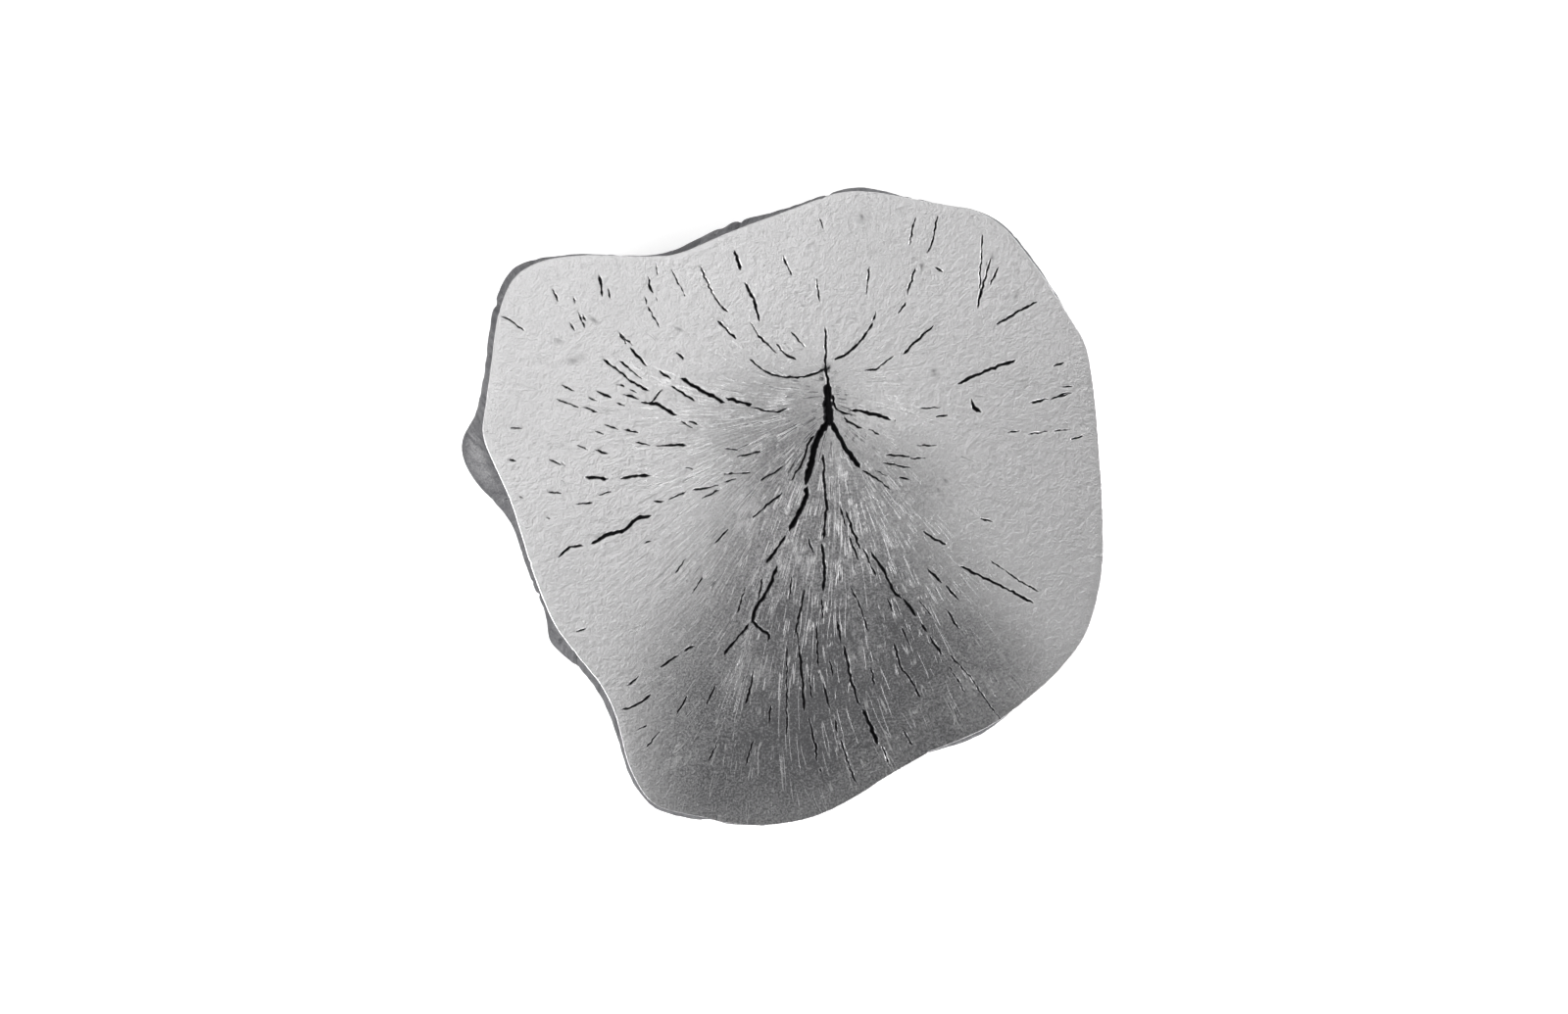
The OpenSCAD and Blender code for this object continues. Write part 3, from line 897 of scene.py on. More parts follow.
# Drying checks: greatest width, then the centre line as x, y, x, y...
CHECKS: tuple[tuple[float, ...], ...] = (
    (1.2, 27, 112, 28, 96, 27, 89, 29, 78, 30, 73), (5.6, 29, 76, 29, 64, 30, 51),
    (1.2, 32, 70, 34, 61, 44, 57), (1.9, 43, 60, 51, 59, 63, 56, 68, 54),
    (1.3, 39, 56, 43, 52, 50, 49), (3.2, 31, 53, 35, 46, 38, 39, 43, 32, 49, 24),
    (1.0, 51, 22, 61, 16, 68, 10), (4.2, 30, 54, 24, 46, 21, 38, 19, 30, 15, 14),
    (2.9, 16, 12, 14, 1, 9, -7, 5, -15), (1.7, 2, -19, -2, -25, -5, -30, -10, -36),
    (2.0, -3, -38, -8, -51, -16, -64, -19, -73), (1.5, -19, -72, -14, -77, -8, -81, -9, -85),
    (1.4, -21, -74, -31, -87, -36, -93), (1.2, 20, 44, 16, 38, 14, 30, 6, 16),
    (1.1, 0, 8, -5, 4, -18, -7), (0.9, -13, 16, -8, 19, 1, 25),
    (1.5, 26, 32, 27, 10, 28, -2, 26, -21), (1.7, 25, -24, 27, -39, 26, -53),
    (0.8, 25, -59, 26, -70), (1.3, 40, -3, 43, -11, 49, -27),
    (1.7, 56, -29, 63, -39, 70, -53, 75, -58), (1.9, 76, -58, 81, -64, 84, -69),
    (1.8, 87, -73, 91, -79), (1.3, 93, -82, 100, -93), (1.1, 35, -73, 36, -79, 37, -86),
    (1.4, 39, -88, 43, -107, 47, -120, 49, -125), (2.4, 51, -128, 57, -141, 60, -150),
    (1.2, -18, -104, -21, -119, -23, -124), (1.6, 11, -91, 13, -109, 14, -129),
    (1.0, 17, -133, 21, -150, 22, -160), (1.0, 26, -113, 30, -126),
    (1.1, 70, -85, 75, -101, 80, -108, 87, -120), (1.1, 76, -141, 82, -150),
    (0.9, 14, -51, 12, -63, 8, -82), (1.3, 91, -39, 100, -48), (1.2, 103, -50, 111, -59),
    (1.0, 103, -65, 111, -77), (1.3, 89, -16, 95, -20, 103, -24),
    (1.4, 112, -38, 127, -45, 143, -53, 158, -61), (0.7, 131, -34, 152, -49, 162, -54),
    (1.0, 125, -8, 132, -10), (1.7, 111, 77, 124, 83, 147, 92), (2.2, 119, 67, 121, 62, 125, 59),
    (1.2, 156, 65, 167, 67), (0.8, 171, 88, 177, 90), (0.8, 142, 46, 149, 47),
    (0.9, 155, 45, 167, 47), (0.8, 182, 42, 189, 44), (0.8, 87, 38, 97, 38),
    (0.9, 66, 32, 80, 31), (0.8, 97, 56, 104, 57), (0.7, 64, 27, 81, 24), (0.7, 169, 67, 182, 71),
    (1.3, 57, 115, 51, 105, 43, 97, 33, 92), (1.0, 59, 122, 57, 116),
    (1.2, 95, 113, 85, 104, 76, 95), (0.8, 70, 94, 59, 86, 52, 85), (0.7, 55, 150, 53, 133),
    (0.9, 84, 181, 80, 164), (1.1, 98, 182, 94, 165, 91, 159), (0.9, 84, 150, 79, 133),
    (1.3, 78, 128, 73, 121), (1.3, 135, 114, 152, 124, 160, 128),
    (0.8, 126, 170, 124, 133, 123, 124), (1.0, 131, 155, 124, 130), (1.1, 136, 150, 131, 139),
    (1.1, 96, 150, 101, 147), (1.1, 24, 180, 26, 174), (0.8, 1, 157, 6, 145),
    (0.8, 22, 142, 24, 128), (1.9, -30, 161, -28, 155, -26, 148),
    (1.6, -23, 140, -18, 130, -14, 116), (1.0, -51, 150, -44, 134, -39, 127, -34, 122),
    (1.2, -40, 116, -29, 105), (0.9, -20, 115, -13, 105, -3, 96), (1.1, -4, 102, 3, 95, 9, 92),
    (0.9, 6, 109, 14, 100), (1.1, -20, 92, -10, 84, 1, 81, 14, 81, 27, 86),
    (0.7, -69, 148, -61, 132), (1.8, -84, 144, -83, 139, -81, 134), (0.9, -84, 125, -77, 112),
    (1.1, -115, 145, -113, 132), (0.9, -144, 136, -141, 129), (1.2, -131, 131, -130, 127),
    (1.2, -125, 120, -123, 116), (1.1, -133, 115, -130, 110),
    (1.0, -176, 119, -168, 115, -162, 110), (1.1, -102, 109, -98, 102), (1.6, -95, 99, -85, 88),
    (0.8, -66, 96, -62, 93), (1.2, -77, 85, -70, 80), (1.3, -112, 92, -100, 83, -94, 78, -83, 72),
    (0.9, -102, 91, -88, 80), (2.2, -63, 80, -53, 74, -42, 68, -36, 65),
    (1.8, -35, 68, -23, 64, -19, 64), (1.0, -19, 62, -5, 59, 3, 61), (1.2, -69, 75, -55, 66),
    (1.8, -88, 65, -79, 64, -66, 57), (1.0, -82, 65, -75, 73), (1.5, -116, 72, -107, 68),
    (0.8, -138, 76, -130, 72), (0.9, -141, 67, -128, 62), (0.8, -125, 62, -116, 59),
    (1.2, -104, 65, -99, 63), (1.2, -99, 70, -90, 67), (1.5, -58, 53, -53, 51),
    (1.0, -170, 49, -163, 49), (1.2, -111, 51, -103, 48), (1.2, -99, 48, -90, 46),
    (1.6, -72, 38, -60, 38), (0.9, -128, 38, -122, 35), (1.3, -117, 35, -109, 33),
    (1.8, -123, 18, -109, 17), (1.7, -101, 17, -91, 19, -82, 19), (1.2, -147, 9, -139, 8),
    (0.8, -129, 1, -119, 2), (1.4, -140, -32, -133, -26, -125, -25),
    (2.4, -120, -24, -109, -18, -99, -15, -91, -8, -82, -6), (0.8, -80, 3, -74, 3),
    (0.9, -71, 4, -60, 9), (1.2, -56, 10, -48, 11), (0.8, -36, 15, -29, 17),
    (0.9, -87, -24, -82, -22), (0.9, -28, 31, -14, 34), (1.2, -76, -101, -65, -94),
    (1.6, -61, -91, -55, -88), (1.1, -101, -128, -91, -125, -82, -118),
    (0.8, -91, -141, -85, -138), (0.7, -129, -79, -123, -77), (0.8, 71, 54, 71, 51),
    (0.8, 55, 48, 61, 45), (0.9, -165, 6, -163, 5), (0.9, -148, -7, -146, -8),
    (0.8, -138, 27, -136, 25), (0.8, -138, 16, -136, 14), (0.8, 96, 150, 101, 147),
    (0.7, -79, 131, -78, 128), (0.8, -86, 131, -85, 127), (0.9, -66, 96, -62, 92),
    (0.9, -121, 68, -116, 66), (0.8, -103, 76, -99, 75), (0.8, -95, 73, -91, 71),
    (0.8, -56, 10, -48, 11), (0.7, 171, 47, 181, 48), (0.7, 182, 42, 189, 44),
    (0.7, 97, 56, 104, 57), (0.7, 86, 61, 100, 62), (0.7, 85, 38, 97, 38), (0.7, 81, 30, 90, 30),
    (0.7, 64, 27, 74, 25, 81, 24), (0.8, 74, 18, 81, 16), (0.7, 169, 67, 176, 70, 182, 71),
    (0.7, 175, 75, 182, 75), (0.9, 24, -164, 25, -168), (0.7, 3, -88, 3, -116, 3, -144),
    (0.8, 22, -76, 23, -101), (0.7, 33, -134, 35, -142), (0.8, 37, -147, 42, -163, 47, -174),
    (0.7, 43, -51, 48, -61, 51, -69, 54, -78), (0.7, 105, -101, 115, -117),
    (0.7, 106, -94, 118, -107, 124, -116, 137, -134), (0.7, -40, -148, -46, -161),
    (0.7, -18, -148, -23, -163), (0.7, 63, -150, 67, -163), (0.7, -109, 136, -108, 130),
    (0.9, -114, 144, -113, 137), (0.8, -128, 122, -124, 112), (0.7, -79, 152, -78, 145),
    (0.8, -101, 108, -94, 101), (0.8, -63, 53, -56, 49), (0.8, -117, 47, -112, 45),
    (0.8, -146, 29, -139, 26), (0.8, -92, 40, -83, 38), (0.7, -80, 38, -66, 38),
    (0.8, -36, 36, -28, 35), (0.8, -60, 24, -56, 23), (0.8, -53, 10, -40, 13),
    (0.8, -36, 20, -20, 21), (0.7, -115, 7, -107, 9), (0.9, -171, 29, -167, 28),
    (0.8, 16, -19, 20, -31), (0.8, 42, -19, 48, -34), (0.7, 51, -27, 59, -44),
    (0.7, 37, -2, 41, -15), (0.7, 6, -45, 5, -59), (0.8, 9, -76, 11, -91),
    (0.7, -12, -45, -15, -59), (0.7, -23, -51, -28, -67), (0.7, -50, -45, -56, -55),
    (0.7, -60, -33, -67, -42), (0.7, -34, -15, -43, -24), (0.8, -39, 10, -50, 5),
    (0.8, 75, -76, 80, -87), (0.8, 66, -58, 70, -67), (0.8, 86, -59, 94, -69),
    (0.8, 59, 22, 66, 19), (0.7, 30, -96, 32, -107), (0.7, 56, -101, 58, -113),
    (0.7, 17, -107, 19, -120), (0.8, -7, -125, -8, -138), (0.9, -42, -113, -47, -124),
    (0.7, -66, -131, -60, -120), (0.7, -85, -152, -77, -142), (0.7, -97, -113, -90, -107),
)


# Dark scuffs, painted shade blobs, and pale patches that lift the painted shade: x, y, half
# width, half height, and a share.
SCUFFS = (
    (183, -42, 4, 7), (130, 154, 4, 6), (51, 181, 4, 3), (12, 127, 2, 3), (146, 133, 4, 3),
    (-128, 91, 5, 4), (-157, 150, 3, 2), (97, 84, 6, 3), (106, 16, 10, 2.5), (103, 10, 8, 2),
    (-139, 105, 3, 3), (28, 84, 5, 6), (-66, 110, 3, 3), (88, 150, 2, 3), (-118, 118, 3, 2),
)
# painted shade: blobs that stand in for the dark reflection over the lower part of the top
SHADE_BLOBS = (
    (47, -128, 80, 96, 0.94), (-28, -140, 68, 104, 0.82), (10, -25, 50, 76, 0.76),
    (0, 50, 58, 38, 0.42), (112, -112, 54, 46, 0.72), (82, -58, 48, 46, 0.42),
    (62, -8, 42, 40, 0.38), (72, 20, 36, 28, 0.26), (-36, -166, 56, 30, 0.34),
)
# pale patches that lift the painted shade
PALE_PATCHES = (
    (-66, -159, 14, 8), (-20, -106, 16, 14), (124, -113, 12, 9), (-20, -8, 12, 16),
    (60, 60, 26, 14), (10, -30, 20, 12), (48, -90, 10, 14),
)


@dataclass
class CheckLines:
    """The drying checks as fine line pieces, to measure distances from."""

    step: float = 2.2              # length of a piece
    sway: float = 0.45             # how far a check wanders off its line
    tile: float = 14.0             # side of the squares that a search is cut into
    reach: float = 8.0             # how far off a check is still found
    starts: Array = field(default_factory=lambda: np.zeros((0, 2)))
    ends: Array = field(default_factory=lambda: np.zeros((0, 2)))
    halves: Array = field(default_factory=lambda: np.zeros((0, 2)))

    def __post_init__(self) -> None:
        """Draws every check through its points."""
        rng = np.random.default_rng(5)
        starts, ends, halves = [], [], []
        for width, *numbers in CHECKS:
            line = self._curve(np.array(numbers, float).reshape(-1, 2), rng)
            share = np.linspace(0, 1, len(line))
            half = 0.47 * width * np.minimum(1, 0.25 + 3.2 * np.sqrt(share * (1 - share)))
            half = half * rng.uniform(0.78, 1.22, half.size) + 0.1
            starts.append(line[:-1])
            ends.append(line[1:])
            halves.append(np.stack([half[:-1], half[1:]], axis=1))
        self.starts = np.concatenate(starts)
        self.ends = np.concatenate(ends)
        self.halves = np.concatenate(halves)

    def _curve(self, points: Array, rng: np.random.Generator) -> Array:
        """A smooth wandering line through points."""
        before = 2 * points[0] - points[1]
        after = 2 * points[-1] - points[-2]
        posts = np.concatenate([[before], points, [after]])
        made = []
        for a, b, c, d in zip(posts, posts[1:], posts[2:], posts[3:]):
            count = max(1, int(round(np.linalg.norm(c - b) / self.step)))
            for t in np.arange(count) / count:
                square = (2 * a - 5 * b + 4 * c - d) * t**2
                cube = (3 * b - a - 3 * c + d) * t**3
                made.append(0.5 * (2 * b + (c - a) * t + square + cube))
        made.append(points[-1])
        line = np.array(made)
        if len(line) > 2:
            way = np.gradient(line, axis=0)
            way /= np.linalg.norm(way, axis=1, keepdims=True)
            side = np.stack([-way[:, 1], way[:, 0]], axis=1)
            line[1:-1] += side[1:-1] * rng.uniform(-self.sway, self.sway, (len(line) - 2, 1))
        return line

    def nearest(self, places: Array) -> tuple[Array, Array]:
        """Args:
            places: x and y in millimetres, one row each.

        Returns:
            The least distance to an edge of a check, which is negative inside it, and
            that check's half width there.
        """
        edge = np.full(len(places), 99.0)
        half = np.ones(len(places))
        tile = np.floor(places / self.tile).astype(int)
        keys, order = np.unique(tile, axis=0, return_inverse=True)
        order = order.ravel()
        sort = np.argsort(order, kind="stable")
        cuts = np.searchsorted(order[sort], np.arange(len(keys) + 1))
        middle = (self.starts + self.ends) / 2
        for index, key in enumerate(keys):
            rows = sort[cuts[index] : cuts[index + 1]]
            centre = (key + 0.5) * self.tile
            close = np.abs(middle - centre).max(axis=1) < self.tile / 2 + self.reach
            if close.any():
                edge[rows], half[rows] = self._nearest(places[rows], close)
        return edge, half

    def _nearest(self, places: Array, close: Array) -> tuple[Array, Array]:
        """How close a few places are to a few of the pieces."""
        starts, ends, halves = self.starts[close], self.ends[close], self.halves[close]
        span = ends - starts
        size = np.maximum((span**2).sum(1), 1e-9)
        part = places[:, None, :]
        t = np.clip(((part - starts) * span).sum(2) / size, 0, 1)
        off = np.linalg.norm(part - starts - t[..., None] * span, axis=2)
        wide = halves[:, 0] * (1 - t) + halves[:, 1] * t
        best = (off - wide).argmin(1)
        rows = np.arange(len(best))
        return (off - wide)[rows, best], wide[rows, best]


@dataclass
class RayField:
    """The end grain's rays, which run from the pith to the rim and meet it square."""

    pith_top: tuple[float, float] = (28.0, 88.0)
    pith_foot: tuple[float, float] = (30.0, 54.0)
    pith_width: float = 2.2
    # the bearing of a ray at the rim, and its bearing as it leaves the pith, in degrees
    leaves: tuple[tuple[float, float], ...] = (
        (-15, -29), (0, -15), (15, 0), (30, 12), (45, 20), (60, 30), (72, 50), (83, 90),
        (100, 150), (120, 178), (145, 188), (165, 193), (180, 198), (200, 208),
        (225, 224), (245, 240), (265, 256), (275, 268), (285, 279), (300, 291),
        (320, 304), (335, 320), (345, 331),
    )

    def rays(self, rim: Array, bearings: Array) -> tuple[Array, Array, Array, Array]:
        """The four posts of every ray's curve.

        Args:
            rim: the rim's points in millimetres, one for each ray, round the cap.
            bearings: each ray's bearing in degrees.

        Returns:
            The posts, from the pith to the rim.
        """
        table = np.array(self.leaves)
        leave = np.radians(np.interp(bearings, table[:, 0], table[:, 1]))
        way = np.stack([np.cos(leave), np.sin(leave)], axis=1)
        down = smooth((1 - np.sin(leave)) / 2)[:, None]
        pith = np.array(self.pith_top) * (1 - down) + np.array(self.pith_foot) * down
        pith = pith + way * (0.35 + self.pith_width * down**1.5)
        along = np.roll(rim, -1, 0) - np.roll(rim, 1, 0)
        along = soften(along, len(rim) / 45, 0, True)
        inward = np.stack([-along[:, 1], along[:, 0]], axis=1)
        inward /= np.linalg.norm(inward, axis=1, keepdims=True)
        reach = np.linalg.norm(rim - pith, axis=1, keepdims=True)
        return pith, pith + way * reach * 0.36, rim + inward * reach * 0.4, rim


@dataclass
class Cap:
    """The cast end-grain cap: checked top, rounded rim, side, and the ring below."""

    columns: int = 480
    top_rows: int = 46
    rim_radius: float = 0.6
    seam_turn: float = 345 / 360
    check_depth: float = 6.5
    # how near a check the mesh is cut finer, and the edges that are long enough to cut
    refinements: tuple[tuple[float, float], ...] = ((3.2, 1.6), (1.7, 1.0), (0.75, 0.6))
    wall: float = 5.5
    ring: float = 5.0
    crown: tuple[float, float] = (15.0, 20.0)
    crown_drop: float = 2.2
    grain: LongGrain = field(default_factory=LongGrain)
    rays: RayField = field(default_factory=RayField)
    checks: CheckLines = field(default_factory=CheckLines)
    rag: Grain = field(default_factory=lambda: Grain(21, 45, 250))

    def build(self, material: bpy.types.Material) -> bpy.types.Object:
        """Builds the cap.

        Args:
            material: the silver leaf.

        Returns:
            The piece that stands for top_cap.
        """
        low, high = (corner.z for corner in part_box("top_cap"))
        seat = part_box("trunk_wall")[1].z
        probe = Probe("top_cap")
        even = np.arange(480) / 480
        rim = soften(probe.radii([(seat + high) / 2], even), 1.4, 1, True)[0]
        turns = self.seam_turn + np.arange(self.columns + 1) / self.columns
        radius = resample_row(rim, turns)
        points, rows = self._profile(radius, turns, low, seat, high)
        bm = sheet_mesh("cap", self.columns, rows - 1)
        set_points(bm, points)
        turn_grid = np.repeat(turns[None, :], rows, 0)
        along = np.linspace(0, 1, self.top_rows)
        along = np.concatenate([along, np.ones(rows - self.top_rows)])
        level = points[:, :, 2]
        share = np.clip((high - level) / (high - seat), 0, 1)
        turn_grid = turn_grid + (self.grain.flow(turn_grid, level) - turn_grid) * share
        along = np.repeat(along[:, None], turns.size, 1) + (high - level) / STOOL_HIGH
        set_grain_map(bm, turn_grid, along)
        self._refine(bm, high)
        self._carve(bm, high, seat)
        weld(bm)
        self._close(bm, low, high)
        return finish_piece("top_cap_leafed", bm, material, ["top_cap"])

    def _profile(
        self, radius: Array, turns: Array, low: float, seat: float, high: float
    ) -> tuple[Array, int]:
        """The cap's points, from the pith out over the rim, down and in underneath.

        Returns:
            The points in metres, rows by columns, and the count of rows.
        """
        bearings = turns * 360.0
        bearings = np.where(bearings >= 345.0, bearings - 360.0, bearings)
        bearings[-1] = 345.0
        way = np.stack([np.cos(turns * math.tau), np.sin(turns * math.tau)], axis=1)
        side = radius - self.grain.depth(turns % 1.0, np.full(turns.size, seat))
        inner_rim = way[:-1] * (side[:-1, None] / MM - self.rim_radius)
        posts = self.rays.rays(inner_rim, bearings[:-1])
        posts = [np.concatenate([post, post[:1]]) for post in posts]
        rows = []
        shares = np.linspace(0, 1, self.top_rows) ** 1.08
        for t in shares:
            a, b, c, d = ((1 - t) ** 3, 3 * t * (1 - t) ** 2, 3 * t * t * (1 - t), t**3)
            flat = (a * posts[0] + b * posts[1] + c * posts[2] + d * posts[3]) * MM
            rows.append(np.column_stack([flat, np.full(len(flat), high)]))
        r = self.rim_radius * MM
        for angle in (25, 50, 75, 90):
            a = math.radians(angle)
            rows.append(ring(way, side - r + r * math.sin(a), high - r + r * math.cos(a)))
        for z in np.linspace(high - r, seat, 5)[1:]:
            rows.append(ring(way, side, z))
        for inset, z in (
            (self.wall, seat), (self.wall, low), (self.wall + self.ring, low),
            (self.wall + self.ring, seat), (self.wall + 60, seat),
        ):
            rows.append(ring(way, radius - inset * MM, z))
        return np.stack(rows), len(rows)

    def _refine(self, bm: bmesh.types.BMesh, high: float) -> None:
        """Cuts the mesh finer beside the checks, where its edges are still long."""
        for reach, longest in self.refinements:
            bm.verts.index_update()
            places = np.array([vert.co[:] for vert in bm.verts])
            edge, _ = self.checks.nearest(places[:, :2] / MM)
            near = (edge < reach) & (places[:, 2] > high - 1e-5)
            edges = [
                edge for edge in bm.edges
                if (near[edge.verts[0].index] or near[edge.verts[1].index])
                and edge.calc_length() > longest * MM
            ]
            bmesh.ops.subdivide_edges(bm, edges=edges, cuts=1, use_grid_fill=True)
        LOG.info("cap: %d triangles once refined", sum(len(f.verts) - 2 for f in bm.faces))

    def _carve(self, bm: bmesh.types.BMesh, high: float, seat: float) -> None:
        """Sinks the checks and the gentle swell of the top, and writes the grain_and_shade
        attribute with painted shadow and painted shade.
        """
        bm.verts.index_update()
        places = np.array([vert.co[:] for vert in bm.verts])
        flat = places[:, :2] / MM
        on_top = places[:, 2] > high - 1e-5
        edge, half = self.checks.nearest(flat)
        edge = edge + 0.3 * self.rag(flat[:, 0] / 90.0, (flat[:, 1] + 250) / 500)
        inside = np.clip(-edge / np.maximum(half, 0.3), 0, 1)
        depth = np.minimum(self.check_depth, 0.6 + 2.8 * half)
        cut = depth * smooth(inside * 1.6)
        lip = 0.04 * np.exp(-((np.maximum(edge, 0) / 0.6) ** 2))
        swell = self.swell(flat)
        fibre = self.fibre_share(flat)
        held = np.clip((places[:, 2] - seat) / (high - seat), 0, 1) ** 2
        drop = (cut + lip) * on_top + swell * held
        layer = bm.verts.layers.float_vector.new("grain_and_shade")
        # painted shadow in and beside the checks
        dark = np.clip((0.26 - edge) / 0.32, 0, 1) * on_top
        side = smooth((high - places[:, 2]) / (3.0 * self.rim_radius * MM))
        scuff, pale_patch = self.marks(flat)
        dark = np.maximum(dark, scuff * on_top)
        # painted shade over the top, lifted in the pale patches
        shade = np.clip(self.shade(flat) - pale_patch, 0, 1)
        # the rim and side take the wall's painted shade
        shade = shade * (1 - side) + self.grain.side_shade * side
        fibre = np.maximum(fibre, pale_patch) * (1 - side) + self.grain.woolly * side
        for index, vert in enumerate(bm.verts):
            vert.co.z -= drop[index] * MM
            vert[layer] = (dark[index], fibre[index], shade[index])

    def marks(self, flat: Array) -> tuple[Array, Array]:
        """The dark scuffs, and the pale patches that lift the painted shade, each from 0 to 1."""
        x, y = flat[:, 0], flat[:, 1]
        patchy = self.rag(x / 130.0, (y + 250) / 500) + self.rag(x / 61.0, (y + 250) / 900)
        scuff, pale_patch = np.zeros(len(flat)), np.zeros(len(flat))
        for px, py, wide, tall in SCUFFS:
            near = np.exp(-((((x - px) / wide) ** 2 + ((y - py) / tall) ** 2) ** 2))
            scuff = np.maximum(scuff, near * smooth(patchy * 1.4 + 0.1) * 0.75)
        for px, py, wide, tall in PALE_PATCHES:
            near = np.exp(-(((x - px) / wide) ** 2 + ((y - py) / tall) ** 2))
            pale_patch = np.maximum(pale_patch, near * smooth(patchy * 0.9 + 0.5) * 0.32)
        return scuff, pale_patch

    def swell(self, flat: Array) -> Array:
        """How far the top sinks below its highest level, in millimetres."""
        x, y = flat[:, 0] - self.crown[0], flat[:, 1] - self.crown[1]
        dome = self.crown_drop * (np.hypot(x, y) / 205.0) ** 2
        roll = 0.2 * np.sin(flat[:, 0] / 31 + 1.3) * np.sin(flat[:, 1] / 37 + 0.4) + 0.2
        return dome + roll

    def fibre_share(self, flat: Array) -> Array:
        """How fibrous the top is, from 0 to 1: most about and below the pith."""
        x, y = flat[:, 0], flat[:, 1]
        lower = np.exp(-(((x - 14) / 72) ** 2 + ((y + 20) / 85) ** 2))
        upper = 0.7 * np.exp(-(((x - 0) / 62) ** 2 + ((y - 48) / 36) ** 2))
        return np.clip(lower + upper, 0, 1) * 0.85

    def shade(self, flat: Array) -> Array:
        """How much painted shade the top takes, from 0 to 1: it stands in for the dark reflection
        over the lower part of the top.
        """
        clean = np.ones(len(flat))
        for x, y, wide, tall, share in SHADE_BLOBS:
            off = ((flat[:, 0] - x) / wide) ** 2 + ((flat[:, 1] - y) / tall) ** 2
            clean *= 1 - share * np.exp(-(off**1.5))
        return 1 - clean

    def _close(self, bm: bmesh.types.BMesh, low: float, high: float) -> None:
        """Fills the open rings at the pith's floor and under the cap."""
        rims = [e for e in bm.edges if e.is_boundary]
        pith = [e for e in rims if e.verts[0].co.z > high - 0.01]
        sunk = bmesh.ops.extrude_edge_only(bm, edges=pith)["geom"]
        floor = [v for v in sunk if isinstance(v, bmesh.types.BMVert)]
        layer = bm.verts.layers.float_vector["grain_and_shade"]
        for vert in floor:
            vert.co.z = high - self.check_depth * MM
            # the pith's floor takes full painted shadow
            vert[layer] = (1.0, 0.0, 0.0)
        rims = [e for e in bm.edges if e.is_boundary]
        bmesh.ops.holes_fill(bm, edges=rims, sides=0)
        bmesh.ops.recalc_face_normals(bm, faces=bm.faces)


def ring(way: Array, radius: Array, z: float) -> Array:
    """A closed row of points at one height."""
    return np.column_stack([way * radius[:, None], np.full(len(way), z)])


# --------------------------------------------------------------------- fittings


